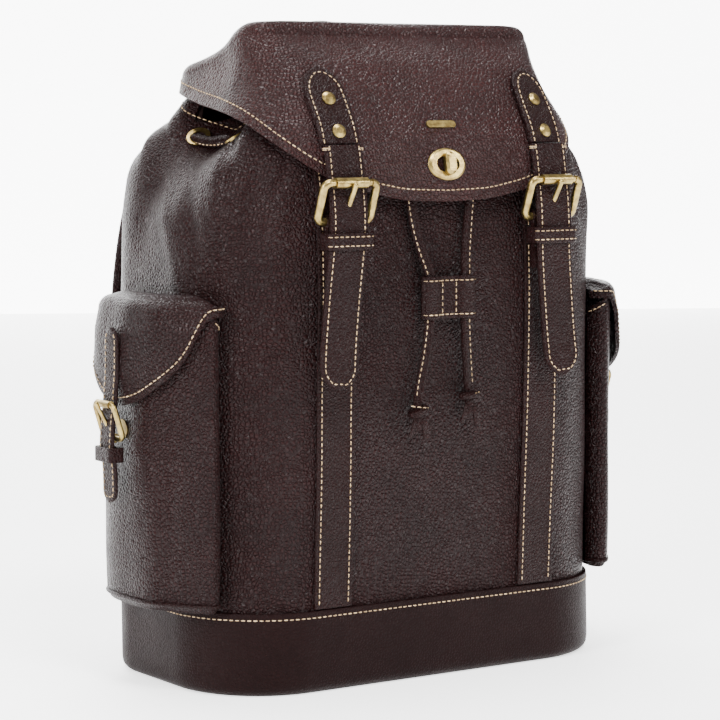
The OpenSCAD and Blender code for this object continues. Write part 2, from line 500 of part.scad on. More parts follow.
// Outline of the right pocket seen from above, from its front seam to its back seam.
function pocket_line() = let (f = pocket_face) smooth([[142.4, -50], [142.7, -55], [145.6, -60], [150.6, -61.2],
    [156, -56.4], [162.2, -48.4], [f - 8.8, -39.6], [f - 3.4, -29.6], [f - 0.5, -17], [f, pocket_mid], [f - 0.4, 10], [f - 2.4, 22],
    [f - 6.8, 33], [161.5, 41], [151.8 * scale_w, 42.4]], 3);
function line_off(p, d) = [for (i = [0:len(p) - 1]) let (t = unit(p[min(len(p) - 1, i + 1)] - p[max(0, i - 1)]))
    p[i] + d * [t[1], -t[0]]];
function flat_at(p, z) = [for (q = p) [q[0], q[1], z]];
pocket_zs = [[0, -1.6], [1.2, -0.8], [4, 0], [60, 0.6], [120, 0.4], [pocket_top - pocket_low, 0]];
module pocket_right_shell() color(brown) {
    sheet([for (r = pocket_zs) flat_at(line_off(pocket_line(), r[1]), pocket_low + r[0])],
          [for (r = pocket_zs) flat_at(line_off(pocket_line(), r[1] - leather), pocket_low + r[0])]);
    translate([0, 0, pocket_low + 0.4]) linear_extrude(height = 2) polygon(concat(
        [for (q = line_off(pocket_line(), -2.6)) if (q[0] > 152.6) q], [[152.6, 36], [152.6, -40]]));
}
module pocket_left_shell() mirror([1, 0, 0]) pocket_right_shell();
// The pocket's flap: a lid over the mouth and a round skirt down the face.
lid_z = pocket_top + 1;
lid_t = 3;
lid_x = 152.4;
function lid_line() = [for (q = line_off(pocket_line(), 0.9)) if (q[0] > lid_x + (q[1] < 0 ? -2 : 1)) q];
// Lower edge of the skirt, by distance from the pocket's middle.
lid_edge = [[0, -61.5], [13, -60.2], [25, -55.7], [39, -45.2], [47, -37], [52.5, -28], [56, -16], [58, -6]];
function lid_low(q) = let (s = (q[1] - pocket_mid) * (q[1] > pocket_mid ? 1.27 : -1))
    pocket_top + (q[0] < 150 ? -6 : lookup(s, lid_edge));
lid_bulge = [[-66, 2.4], [-45, 4], [-20, 3], [-5, 0], [0, 0]];
function lid_row(f, out) = let (n = lid_line(), a = line_off(n, 10)) [for (i = [0:len(n) - 1]) let (
    z = lid_low(n[i]) * (1 - f) + (lid_z + lid_t) * f, e = min(1, i / 8, (len(n) - 1 - i) / 8),
    m = n[i] + (a[i] - n[i]) * (out + e * lookup(z - lid_z - lid_t, lid_bulge)) / 10) [m[0], m[1], z]];
module pocket_right_flap() color(brown) {
    rows = [0, 0.33, 0.66, 0.88, 1];
    edge = line_off(lid_line(), 1.3);
    plate = [for (i = [2:len(edge) - 3]) edge[i]];
    sheet([for (f = rows) lid_row(f, 2.2)], [for (f = rows) lid_row(f, 0)]);
    translate([0, 0, lid_z]) linear_extrude(height = lid_t - 0.2)
        polygon(concat(plate, [[lid_x, 40], [lid_x, -58]]));
}
module pocket_left_flap() mirror([1, 0, 0]) pocket_right_flap();
// Strap of the pocket: outward distance, height, share of width.
p_run = [[5.4, 222, 0.12], [5.4, 217, 1], [5.5, 200, 1], [6, 190, 1], [6.6, 183, 1], [7, 176, 1], [8.2, 166, 1], [9.2, 155, 1],
    [9.2, 147, 1], [7.6, 138, 1], [7.2, 124, 1], [7.4, 116, 0.12]];
function p_band(off) = [for (i = [len(p_run) - 1:-1:0]) let (a = p_run[max(0, i - 1)], b = p_run[min(len(p_run) - 1, i + 1)],
    t = unit([b[0] - a[0], b[1] - a[1]])) [for (k = [-1, 0, 1])
    [pocket_face + pocket_out + p_run[i][0] - t[1] * off, pocket_mid + k * 8 * p_run[i][2], p_run[i][1] + t[0] * off]]];
module pocket_right_strap() color(dark_brown) difference() {
    sheet(p_band(1.2), p_band(-1.2));
    translate([pocket_face + pocket_out + 4, pocket_mid - 2.1, 151.5]) cube([10, 4.2, 18]);
}
module pocket_left_strap() mirror([1, 0, 0]) pocket_right_strap();
p_bar = [4.8 + pocket_out, 155];
p_top = [11.2 + pocket_out, 176];
p_bars = norm(p_top - p_bar);
p_tilt = atan((p_top[0] - p_bar[0]) / (p_top[1] - p_bar[1]));
module in_p_buckle() translate([pocket_face + p_bar[0], pocket_mid, p_bar[1]]) rotate([0, p_tilt, 0]) rotate([0, 0, 90]) children();
module pocket_right_buckle() color(brass) in_p_buckle() {
    frame_wire(12, p_bars, 1.7, 1.7);
    translate([0, 0, p_bars]) wire_x(-8.2, 8.2, 2.3);
}
module pocket_left_buckle() mirror([1, 0, 0]) pocket_right_buckle();
module pocket_right_prong() color(brass) in_p_buckle() rotate([11.4, 0, 0]) difference() {
    union() {
        translate([-1.6, 0, 0]) rotate([0, 90, 0]) cylinder(r = 2.9, h = 3.2);
        cylinder(r = 1.2, h = 24.4);
        translate([0, 0, 24.4]) sphere(r = 1.2);
    }
    translate([-3, 0, 0]) rotate([0, 90, 0]) cylinder(r = 1.76, h = 6);
}
module pocket_left_prong() mirror([1, 0, 0]) pocket_right_prong();
module pocket_right_keeper() color(dark_brown) loop(pocket_face + pocket_out + 2.2, pocket_mid - 10.5, 141, 11.4, 21, 9, 1.6);
module pocket_left_keeper() mirror([1, 0, 0]) pocket_right_keeper();

// ---- carrying ----
handle_run = [[0, 50, 405.5], [10, 50.6, 404.6], [20, 53, 401], [30, 58, 392], [36, 62, 378], [37.5, 63.4, 364], [37.5, 63.4, 354]];
module handle_loop() color(dark_brown) both() route_tube(smooth(handle_run, 2), 4.2, [0, 0.34, 0.1], 10);
// Patch on the back that holds the handle and the shoulder straps.
module strap_yoke() color(dark_brown) {
    zs = [316, 327, 336, 347];
    sheet([for (z = zs) [for (v = steps(88, -88, 16)) back_pt(v, z, gap + 2.4)]],
          [for (z = zs) [for (v = steps(88, -88, 16)) back_pt(v, z, gap)]]);
    both() translate([pad_x - 11, 74.2, 326]) cube([22, 2.2, 8]);
}
pad_x = 76;
low_x = 118;
// Middle of a shoulder strap: across, depth, height, half width.
pad_run = [[pad_x, 80, 336, 14], [pad_x + 1, 92, 334, 17], [pad_x + 2, 106, 322, 22], [pad_x + 4, 117, 300, 26],
    [pad_x + 8, 124, 265, 27], [pad_x + 14, 125, 220, 26], [pad_x + 22, 119, 175, 22], [pad_x + 29, 109, 140, 17], [pad_x + 33, 101, 118, 13]];
function pad_ring(i) = let (n = len(pad_run), a = pad_run[max(0, i - 1)], b = pad_run[min(n - 1, i + 1)], p = pad_run[i],
    f = unit([b[0] - a[0], b[1] - a[1], b[2] - a[2]]), x = unit([1, 0, 0] - f[0] * f), y = cross(f, x),
    h = p[3] * pad_w / 54, t = pad_t / 2)
    [for (q = [[-1, 0], [-0.94, -0.7], [-0.7, -1], [0.7, -1], [0.94, -0.7], [1, 0], [0.94, 0.7], [0.7, 1], [-0.7, 1], [-0.94, 0.7]])
        [p[0], p[1], p[2]] + q[0] * h * x + q[1] * t * y];
module shoulder_pad_right() color(dark_brown) rings_solid([for (i = [0:len(pad_run) - 1]) pad_ring(i)]);
module shoulder_pad_left() mirror([1, 0, 0]) shoulder_pad_right();
low_run = [[100.2, 114.2, 1], [97, 104, 1], [93.4, 88, 1], [90, 72, 1], [88, 62, 1]];
module lower_strap_right() color(dark_brown) translate([low_x - 8, 0, 0]) difference() {
    multmatrix([[1, 0, -0.1, 8.9], [0, 1, 0, 0], [0, 0, 1, 0], [0, 0, 0, 1]])
        sheet(band(low_run, 0, 11, -1.2), band(low_run, 0, 11, 1.2));
}
module lower_strap_left() mirror([1, 0, 0]) lower_strap_right();
module strap_adjuster_right() color(brass) translate([low_x - 23.6, 91.2, 94]) rotate([-14, 0, 0]) loop(0, 0, 0, 28, 7, 16, 1.6);
module strap_adjuster_left() mirror([1, 0, 0]) strap_adjuster_right();
// Lower tabs with their rings.
module lower_tabs() color(dark_brown) both() {
    translate([low_x - 15, 80.4, 38]) cube([30, 4, 20]);
}

base_boot();
base_board();
front_panel();
side_panel_left();
side_panel_right();
back_panel();
back_pad();
lining();
mouth_facing();
laptop_divider();
front_strips();
neck_eyelets();
neck_cord();
cord_tail_left();
cord_tail_right();
cord_knot_left();
cord_knot_right();
cord_slider();
turnlock_base();
turnlock_knob();
snap_studs();
pocket_left_shell();
pocket_right_shell();
strap_yoke();
lower_tabs();
flap_leather();
flap_facing();
flap_straps();
flap_rivets();
turnlock_plate();
badge();
handle_loop();
closure_strap_left();
closure_strap_right();
buckle_frame_left();
buckle_frame_right();
buckle_keeper_left();
buckle_keeper_right();
buckle_chape_left();
buckle_chape_right();
buckle_prong_left();
buckle_prong_right();
buckle_roller_left();
buckle_roller_right();
pocket_left_flap();
pocket_right_flap();
pocket_left_strap();
pocket_right_strap();
pocket_left_buckle();
pocket_right_buckle();
pocket_left_keeper();
pocket_right_keeper();
pocket_left_prong();
pocket_right_prong();
shoulder_pad_left();
shoulder_pad_right();
lower_strap_left();
lower_strap_right();
strap_adjuster_left();
strap_adjuster_right();
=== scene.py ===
"""Leather rucksack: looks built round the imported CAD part. Lengths in this file are millimetres
until a mesh is made, which turns them into metres. Front faces -Y, +Z is up."""

import math

import bpy
import numpy as np
from mathutils import Matrix
from numpy import (array, clip, column_stack, concatenate, cos, exp, interp, linspace, maximum,
                   minimum, sin, stack, vstack, where)


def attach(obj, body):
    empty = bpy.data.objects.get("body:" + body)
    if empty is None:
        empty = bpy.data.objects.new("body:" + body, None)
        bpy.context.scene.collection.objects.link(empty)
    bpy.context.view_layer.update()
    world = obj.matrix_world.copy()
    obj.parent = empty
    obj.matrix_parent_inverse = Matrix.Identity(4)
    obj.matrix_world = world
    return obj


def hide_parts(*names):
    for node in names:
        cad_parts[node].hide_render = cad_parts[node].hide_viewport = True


MM = 0.001
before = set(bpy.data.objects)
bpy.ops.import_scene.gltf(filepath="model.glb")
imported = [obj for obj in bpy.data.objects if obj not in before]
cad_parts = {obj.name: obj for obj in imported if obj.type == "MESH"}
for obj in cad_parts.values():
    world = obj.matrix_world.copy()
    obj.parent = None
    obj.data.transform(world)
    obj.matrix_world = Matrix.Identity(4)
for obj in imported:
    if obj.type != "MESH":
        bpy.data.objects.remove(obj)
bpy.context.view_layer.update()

# ---- sizes shared with the CAD part ----
LEATHER = 2.4
GAP = 0.3
BASE_H = 51
MOUTH_H = 374
RIM_REF = 350.0  # height at which lengths round the rim are counted
STRAP_X = 77
STRAP_W = 27
STRAP_T = 3
POCKET_MID = -3
POCKET_LOW = 52
POCKET_TOP = 236
POCKET_FACE = 177

SIDES = ((1, "right"), (-1, "left"))

# height, half width, front, front corner, back, back corner, side pleat
BODY_ROWS = array([
    [0, 150, 77, 58, 76, 40, 0],
    [50, 150, 78, 62, 77, 40, 0],
    [150, 150.5, 82, 68, 79, 43, 0],
    [240, 151, 84, 71, 80, 44, 0],
    [290, 151, 82.5, 71, 80, 45, 1],
    [315, 149, 79.5, 70, 78, 45, 14],
    [327, 145, 76, 68, 72, 45, 30],
    [336, 138, 72.5, 63, 66, 44, 42],
    [347, 129, 65, 58, 57.5, 42, 48],
    [365, 115, 51, 46, 48, 36, 50],
    [374, 108, 45, 41, 43, 33, 50]], float)
# height, half width, front, front corner, back, back corner
FLAP_ROWS = array([
    [296, 128, 92, 62, 56, 30],
    [315, 129, 90, 62, 56, 30],
    [333, 129, 86.6, 60, 56, 30],
    [345, 126, 81.5, 56, 56, 30],
    [353, 122, 76, 52, 56, 30],
    [365, 114, 69, 45, 56, 28],
    [383, 108, 56, 34, 56, 22],
    [397, 108, 40, 18, 56, 16],
    [406, 107, 26, 12, 56, 14]], float)
FLAP_EDGE = array([[0, 296.5], [0.085, 297.5], [0.164, 303], [0.217, 309.5], [0.254, 315.5],
    [0.316, 331], [0.367, 343], [0.41, 349], [0.452, 352], [0.528, 356], [0.602, 361],
    [0.664, 365], [0.726, 366], [1, 366]])
FLAP_SHOULDER = array([[0, 406], [0.36, 406], [0.4, 404], [0.43, 400], [0.47, 394], [0.5, 390],
    [0.545, 386], [0.6, 382], [0.65, 380], [0.7, 379], [0.85, 377], [1, 376]])
FLAP_RIDGE = array([[-40, 405], [-26, 406], [0, 400], [20, 393], [40, 383], [56, 376]])


def eased(table, width):
    """Samples a table's columns finely and averages them over width, so no kink is left."""
    x = np.arange(table[0, 0] - width, table[-1, 0] + width + 0.5, width / 16)
    n = max(3, int(width / (x[1] - x[0])) | 1)
    cols = []
    for c in range(1, table.shape[1]):
        slope_lo = (table[1, c] - table[0, c]) / (table[1, 0] - table[0, 0])
        slope_hi = (table[-1, c] - table[-2, c]) / (table[-1, 0] - table[-2, 0])
        v = interp(x, table[:, 0], table[:, c])
        v = where(x < table[0, 0], table[0, c] + (x - table[0, 0]) * slope_lo, v)
        v = where(x > table[-1, 0], table[-1, c] + (x - table[-1, 0]) * slope_hi, v)
        pad = np.pad(v, n // 2, mode="edge")
        cols.append(np.convolve(pad, np.ones(n) / n, mode="valid"))
    return x, cols


BODY_SMOOTH = eased(BODY_ROWS, 14)
FLAP_SMOOTH = eased(FLAP_ROWS, 12)
EDGE_SMOOTH = eased(FLAP_EDGE, 0.05)
SHOULDER_SMOOTH = eased(FLAP_SHOULDER, 0.06)
RIDGE_SMOOTH = eased(FLAP_RIDGE, 16)


def col(smooth, x, c=0):
    return interp(x, smooth[0], smooth[1][c])


def section(smooth, z):
    """Half width, front, front corner, back and back corner at height z."""
    return [col(smooth, z, c) for c in range(5)]


def runs(s):
    """Lengths round from the front middle to each corner's ends and to the back middle."""
    e1 = s[0] - s[2]
    e2 = e1 + math.pi / 2 * s[2]
    e3 = e2 + s[1] - s[2] + s[3] - s[4]
    e4 = e3 + math.pi / 2 * s[4]
    return e1, e2, e3, e4, e4 + s[0] - s[4]


def floats(*values):
    """The values as arrays of floats of one shape."""
    return np.broadcast_arrays(*[np.asarray(v, float) for v in values])


def wall(smooth, w, z, d=0.0):
    """Point of a section at length w round from the front middle, d outward."""
    w, z, d = floats(w, z, d)
    s = section(smooth, z)
    e = runs(s)
    u = minimum(abs(w), e[4])
    a1 = (u - e[0]) / s[2]
    a2 = (u - e[2]) / s[4]
    hw, front, rf, back, rb = s[0] + d, s[1] + d, s[2] + d, s[3] + d, s[4] + d
    parts = [u < e[0], u < e[1], u < e[2], u < e[3]]
    x = np.select(parts, [u, e[0] + rf * sin(a1), hw, hw - rb + rb * cos(a2)],
                  hw - rb - (u - e[3]))
    y = np.select(parts, [-front, -(front - rf) - rf * cos(a1), -(s[1] - s[2]) + u - e[1],
                          back - rb + rb * sin(a2)], back)
    return stack([np.sign(w) * x + (w == 0) * x, y, z + 0 * x], -1), s


# folds, listed one by one: middle length round, middle height, half sizes, lean, depth
FOLDS = ((-128, 300, 7, 34, 0.25, -2.4), (-112, 286, 6, 28, 0.2, 1.6), (-152, 303, 8, 26, -0.1, 1.9),
         (-176, 296, 7, 30, -0.25, -2.6), (-196, 285, 9, 36, -0.3, 2.2), (-108, 318, 4, 14, 0.5, -1.6),
         (126, 298, 8, 32, -0.2, -2.2), (148, 300, 7, 26, 0.1, 1.8), (178, 292, 8, 30, 0.25, -2.4),
         (-222, 300, 8, 30, 0.2, -2.2), (222, 300, 8, 30, -0.2, -2.2), (0, 270, 60, 60, 0, 0.8),
         (-45, 308, 5, 16, 0.1, -1.2), (40, 310, 6, 18, -0.1, -1.2), (-58, 200, 9, 50, 0.02, -0.8),
         (60, 150, 10, 50, 0, -0.7))


def creases(w, z):
    """Soft folds and sag of the body's leather, outward, mm."""
    out = 0.9 * sin(w / 41 + z / 63) * sin(z / 47 + 1.3) * clip((z - 60) / 60, 0, 1)
    for w0, z0, sw, sz, lean, deep in FOLDS:
        u = (w - w0 - lean * (z - z0)) / sw
        v = (z - z0) / sz
        out = out + deep * exp(-u * u - v * v)
    return out


def gathers(w, z):
    """Close ripples where the drawstring draws the neck in, outward, mm."""
    near = exp(-((z - 338) / 17) ** 2)
    return near * (1.3 * sin(w / 5.6 + 0.6 * sin(w / 17)) + 0.7 * sin(w / 3.1 + 2.0))


def body(w, z, d=0.0, plain=False):
    """Point of the body's outer leather, d outward."""
    soft = 0 if plain else creases(w, z) + gathers(w, z)
    p, s = wall(BODY_SMOOTH, w, z, np.asarray(d, float) + soft)
    mid, span = (s[3] - s[1]) / 2, (s[3] + s[1]) / 2
    t = clip((p[..., 1] - mid) / span, -1, 1)
    fold = maximum(col(BODY_SMOOTH, z, 5), 0) * cos(t * math.pi / 2) ** 3
    p[..., 0] -= where(np.asarray(w) < 0, -1, 1) * fold
    return p


def body_half(z):
    return runs(section(BODY_SMOOTH, z))[4]


def rim(w):
    """Height of the mouth's edge, which dips over the side pleats."""
    p = body(w, RIM_REF, plain=True)
    t = clip((p[..., 1] + 1) / 58, -1, 1)
    dip = 22 * cos(t * math.pi / 2) ** 2 + 14 * exp(-((abs(w) - 187) / 13) ** 2)
    return MOUTH_H - where(abs(p[..., 0]) > 60, dip, 0)


# the flap's m at the end of its upright wall and of the bend over it, and the bend's radius
WALL_END, BEND_END, BEND_R = 0.6, 0.75, 8.0


def flap(t, m, d=0.0):
    """Point of the flap: t from -1 to 1 round it from the middle of the back through the front,
    m from 0 at the edge to 1 in the middle."""
    t, m, d = floats(t, m, d)
    low, high = col(EDGE_SMOOTH, abs(t)), col(SHOULDER_SMOOTH, abs(t))
    z = low + (high - BEND_R - low) * minimum(1, m / WALL_END)
    half = runs(section(FLAP_SMOOTH, z))[4]
    p, _ = wall(FLAP_SMOOTH, t * half, z, d)
    g = clip((m - WALL_END) / (BEND_END - WALL_END), 0, 1) * math.pi / 2
    far = np.hypot(p[..., 0], p[..., 1] - 10)
    inset = (BEND_R + d) * (1 - cos(g))
    k = (1 - inset / far) * (1 - clip((m - BEND_END) / (1 - BEND_END), 0, 1))
    x, y = p[..., 0] * k, 10 + (p[..., 1] - 10) * k
    share = minimum(1, k / (1 - BEND_R / far)) ** 3
    top = col(RIDGE_SMOOTH, y) * (1 - share) + high * share
    up = where(m <= BEND_END, high - BEND_R + (BEND_R + d) * sin(g), top + d)
    out = stack([x, y, up], -1)
    return where((m <= WALL_END)[..., None], p, out)


# ---- materials ----
def node(tree, kind, **values):
    """New shader node; values go to its inputs of that name, or else to its settings."""
    n = tree.nodes.new("ShaderNode" + kind)
    for k, v in values.items():
        if k in n.inputs:
            n.inputs[k].default_value = v
        else:
            setattr(n, k, v)
    return n


def new_look(name):
    """A node material with its tree, link call, shader and object coordinates."""
    m = bpy.data.materials.new(name)
    m.use_nodes = True
    t = m.node_tree
    at = node(t, "TexCoord").outputs["Object"]
    return m, t, t.links.new, t.nodes["Principled BSDF"], at


def remap(tree, source, ranges, **values):
    """source taken from one range to another: from min, from max, to min, to max."""
    n = node(tree, "MapRange", **values)
    for k, v in zip(("From Min", "From Max", "To Min", "To Max"), ranges):
        n.inputs[k].default_value = v
    tree.links.new(source, n.inputs["Value"])
    return n.outputs["Result"]


def scaled(tree, source, factor, more=None, **values):
    """source times factor, plus more where it is given."""
    kind = "MULTIPLY" if more is None else "MULTIPLY_ADD"
    n = node(tree, "Math", operation=kind, **values)
    n.inputs[1].default_value = factor
    tree.links.new(source, n.inputs[0])
    if more is not None:
        tree.links.new(more, n.inputs[2])
    return n.outputs[0]


def blend(tree, share, dark, light):
    n = node(tree, "MixRGB")
    n.inputs["Color1"].default_value = (*dark, 1)
    n.inputs["Color2"].default_value = (*light, 1)
    tree.links.new(share, n.inputs["Fac"])
    return n.outputs["Color"]


def emboss(tree, shader, height, strength, distance):
    n = node(tree, "Bump", Strength=strength, Distance=distance)
    tree.links.new(height, n.inputs["Height"])
    tree.links.new(n.outputs["Normal"], shader.inputs["Normal"])


def leather(name, dark, light, cell, height, rough, spread=1.0, shine=0.4):
    """Grained leather whose colour is darker in the pebbles' creases, painted shade there, over its own
    patchy tone. cell is a pebble's size in mm, height its bump in mm.
    """
    m, t, link, shader, at = new_look(name)
    warp = node(t, "TexNoise", Scale=160 / cell, Detail=2.0)
    bend = node(t, "VectorMath", operation="MULTIPLY_ADD")
    bend.inputs[1].default_value = (cell * 0.0009,) * 3
    link(at, warp.inputs["Vector"])
    link(warp.outputs["Color"], bend.inputs[0])
    link(at, bend.inputs[2])
    cells = node(t, "TexVoronoi", Scale=1000 / cell, feature="DISTANCE_TO_EDGE", Randomness=0.9)
    size = node(t, "TexVoronoi", Scale=1000 / cell, feature="F1", Randomness=0.9)
    fine = node(t, "TexNoise", Scale=3400 / cell, Detail=2.0)
    for n in (cells, size, fine):
        link(bend.outputs[0], n.inputs["Vector"])
    soft = node(t, "TexNoise", Scale=26.0, Detail=3.0, Roughness=0.55)
    link(at, soft.inputs["Vector"])
    dome_and_crease_shade = remap(t, cells.outputs["Distance"], (-0.04, 0.3, 0.0, 1.0), interpolation_type="SMOOTHSTEP")
    swell = scaled(t, size.outputs["Distance"], -0.45, dome_and_crease_shade)
    relief = scaled(t, fine.outputs["Fac"], 0.08, swell)
    emboss(t, shader, relief, 1.0, height * MM)
    # base colour: painted shade, darker in the creases between the pebble domes and lighter on their tops,
    # mixed with patchy tone that is the leather's own
    patches = scaled(t, soft.outputs["Fac"], 0.75)
    share = scaled(t, dome_and_crease_shade, 0.55 * spread, patches, use_clamp=True)
    link(blend(t, share, dark, light), shader.inputs["Base Color"])
    sheen = remap(t, soft.outputs["Fac"], (0.2, 0.8, rough + 0.1, rough - 0.06))
    link(sheen, shader.inputs["Roughness"])
    shader.inputs["Specular IOR Level"].default_value = shine
    return m


def metal(name, colour, worn, rough):
    """Brushed metal with patches of patina."""
    m, t, link, shader, at = new_look(name)
    shader.inputs["Metallic"].default_value = 1.0
    stretch = node(t, "Mapping")
    stretch.inputs["Scale"].default_value = (60, 900, 900)
    brushed = node(t, "TexNoise", Scale=3.0, Detail=4.0)
    patina = node(t, "TexNoise", Scale=210.0, Detail=5.0, Roughness=0.6)
    link(at, stretch.inputs["Vector"])
    link(stretch.outputs[0], brushed.inputs["Vector"])
    link(at, patina.inputs["Vector"])
    tone = node(t, "ValToRGB")
    for stop, at_share, shade in zip(tone.color_ramp.elements, (0.35, 0.68), (worn, colour)):
        stop.position, stop.color = at_share, (*shade, 1)
    link(patina.outputs["Fac"], tone.inputs["Fac"])
    link(tone.outputs["Color"], shader.inputs["Base Color"])
    sheen = remap(t, brushed.outputs["Fac"], (0.3, 0.7, rough - 0.07, rough + 0.1))
    link(sheen, shader.inputs["Roughness"])
    emboss(t, shader, brushed.outputs["Fac"], 0.25, 0.00008)
    return m


def woven(name, dark, light, pitch, rough):
    """Close plain weave, or twisted thread when the pitch is small."""
    m, t, link, shader, at = new_look(name)
    shader.inputs["Roughness"].default_value = rough
    both = node(t, "Math", operation="MULTIPLY")
    for i, way in enumerate(("DIAGONAL", "Z")):
        n = node(t, "TexWave", Scale=1000 / pitch / 20, Distortion=0.6, bands_direction=way)
        link(at, n.inputs["Vector"])
        link(n.outputs["Fac"], both.inputs[i])
    link(blend(t, both.outputs[0], dark, light), shader.inputs["Base Color"])
    emboss(t, shader, both.outputs[0], 0.6, pitch * 0.0003)
    return m


# each leather's dark colour is the painted shade in its grain's creases, its light colour that of the
# pebble tops
PEBBLED = leather("pebbled_leather", (0.0022, 0.0006, 0.0007), (0.0128, 0.0041, 0.0041), 2.3, 0.68, 0.33,
    shine=0.095)
# the flap's leather: a lighter copy of the pebbled leather, painted light where the flap is lit more
# brightly
FLAP_LIT_LEATHER = leather("flap_leather_painted_lighter", (0.0034, 0.0011, 0.0012), (0.0250, 0.0088, 0.0086), 2.3, 0.6, 0.33,
    shine=0.11)
SMOOTH = leather("strap_leather", (0.0038, 0.0011, 0.0011), (0.0112, 0.0034, 0.0033), 1.9, 0.42, 0.34, 0.8,
    shine=0.085)
BASE = leather("base_leather", (0.0032, 0.0010, 0.0010), (0.0085, 0.0027, 0.0026), 1.9, 0.20, 0.42, 0.8,
    shine=0.045)
RAW_EDGE = leather("inner_leather", (0.0040, 0.0018, 0.0017), (0.0090, 0.0042, 0.0038), 1.4, 0.08, 0.6, 0.4,
    0.05)
BRASS = metal("antique_brass", (0.40, 0.30, 0.105), (0.17, 0.115, 0.04), 0.33)
THREAD = woven("thread", (0.22, 0.145, 0.075), (0.50, 0.365, 0.215), 0.35, 0.8)
LINING = woven("cotton_lining", (0.10, 0.065, 0.045), (0.19, 0.13, 0.09), 1.0, 0.9)
BOARD = woven("stiff_board", (0.16, 0.12, 0.08), (0.26, 0.2, 0.14), 2.0, 0.9)


# ---- mesh helpers ----
def add_object(name, data):
    o = bpy.data.objects.new(name, data)
    bpy.context.scene.collection.objects.link(o)
    return o


def make(name, verts, faces, material, ride, replaces=(), q=1, smooth=True):
    """A mesh piece from points in mm. q = -1 mirrors it to the left side."""
    v = array(verts, float).reshape(-1, 3) * MM
    if q < 0:
        v[:, 0] *= -1
        faces = [tuple(reversed(f)) for f in faces]
    me = bpy.data.meshes.new(name)
    me.from_pydata(v.tolist(), [], [tuple(int(i) for i in f) for f in faces])
    me.validate()
    me.materials.append(material)
    for p in me.polygons:
        p.use_smooth = smooth
    o = add_object(name, me)
    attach(o, ride)
    if replaces:
        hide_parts(*replaces)
    return o


def grid_faces(r, c, closed=False, base=0):
    i, j = np.meshgrid(np.arange(r - 1), np.arange(c if closed else c - 1), indexing="ij")
    k = (j + 1) % c
    f = stack([i * c + j, i * c + k, (i + 1) * c + k, (i + 1) * c + j], -1) + base
    return f.reshape(-1, 4).tolist()


def tube_faces(r, c, base=0):
    """Faces of a grid that closes round, with both its ends capped."""
    caps = [[base + k for k in range(c - 1, -1, -1)], [base + (r - 1) * c + k for k in range(c)]]
    return grid_faces(r, c, True, base) + caps


def thicken(o, t, edge):
    """Thickness inward from the outer face, and rounded cut edges."""
    s = o.modifiers.new("thickness", "SOLIDIFY")
    s.thickness, s.offset, s.use_even_offset = t * MM, -1, False
    if edge:
        b = o.modifiers.new("edge", "BEVEL")
        b.width, b.segments, b.limit_method = edge * MM, 3, "ANGLE"
        b.angle_limit = math.radians(50)


def panel(name, p, t, material, ride, replaces=(), closed=False, q=1, edge=0.8):
    """Sheet of leather t thick: p is its outer face, rows rising and columns running round."""
    o = make(name, p, grid_faces(len(p), len(p[0]), closed), material, ride, replaces, q)
    thicken(o, t, edge)
    return o


def unit(v):
    return v / maximum(np.linalg.norm(v, axis=-1, keepdims=True), 1e-9)


def along(path, out):
    """Tangents, sides and outward normals of a path; out is roughly outward."""
    path = np.asarray(path, float)
    t = unit(np.gradient(path, axis=0))
    out = np.broadcast_to(np.asarray(out, float), path.shape)
    side = unit(np.cross(t, out))
    return t, side, np.cross(side, t)


def curve(points, n):
    """n points evenly along a smooth curve through the given ones."""
    p = np.asarray(points, float)
    q = vstack([2 * p[0] - p[1], p, 2 * p[-1] - p[-2]])
    out = []
    for i in range(1, len(q) - 2):
        f = linspace(0, 1, 24, endpoint=False)[:, None]
        a, b, c, e = q[i - 1], q[i], q[i + 1], q[i + 2]
        out.append(0.5 * (2 * b + (c - a) * f + (2 * a - 5 * b + 4 * c - e) * f ** 2
            + (3 * b - a - 3 * c + e) * f ** 3))
    return even(vstack(out + [p[-1:]]), n)


def even(p, n):
    """n rows evenly along the line that the first three columns draw."""
    s = concatenate([[0], np.cumsum(np.linalg.norm(np.diff(p[:, :3], axis=0), axis=1))])
    at = linspace(0, s[-1], n)
    return stack([interp(at, s, p[:, k]) for k in range(p.shape[1])], -1)


def boxy(a, half, power):
    """One coordinate of a rounded box; a lower power squares the corners."""
    return half * np.sign(a) * abs(a) ** power


def eased_ends(f):
    """0 at both ends of 0 to 1 and 1 between them, with smooth steps a fifth long."""
    e = clip(minimum(f, 1 - f) / 0.2, 0, 1)
    return e * e * (3 - 2 * e)


def both_edges(path, side, up, inset, lift, keep):
    """Stitch line up one edge of a strap and down the other."""
    edges = [(path + side * (s * inset)[:, None] + up * lift)[keep] for s in (-1, 1)]
    return vstack([edges[0], edges[1][::-1]]), vstack([up[keep], up[keep][::-1]])


def around(n):
    return linspace(0, 2 * math.pi, n, endpoint=False)


def facing_row(points, out):
    """Row for stitches() whose leather faces one way."""
    return array(points, float), np.tile(array(out, float), (len(points), 1))


def length_of(p):
    return float(np.linalg.norm(np.diff(p, axis=0), axis=1).sum())


def strap(name, path, half, t, out, ride, replaces=(), q=1, crown=0.35):
    """Leather strap with rounded edges along its middle line; half is half its width there."""
    _, side, up = along(path, out)
    half = np.broadcast_to(np.asarray(half, float), (len(path),))
    r = t / 2
    ring = []
    for a in linspace(-90, 90, 7):
        ring.append((1, math.cos(math.radians(a)), math.sin(math.radians(a))))
    for a in (0.6, 0.2, -0.2, -0.6):
        ring.append((a, 0, 1))
    for a in linspace(90, 270, 7):
        ring.append((-1, math.cos(math.radians(a)), math.sin(math.radians(a))))
    for a in (-0.5, 0, 0.5):
        ring.append((a, 0, -1))
    rows = []
    for i, p in enumerate(path):
        rr = min(r, half[i] * 0.9)
        row = []
        for a, c, s in ring:
            if c == 0:
                u, v = a * (half[i] - rr), s * r + (crown * (1 - a * a) if s > 0 else 0)
            else:
                u, v = a * (half[i] - rr) + c * rr, s * r
            row.append(p + side[i] * u + up[i] * v)
        rows.append(row)
    return make(name, rows, tube_faces(len(path), len(ring)), SMOOTH, ride, replaces, q)


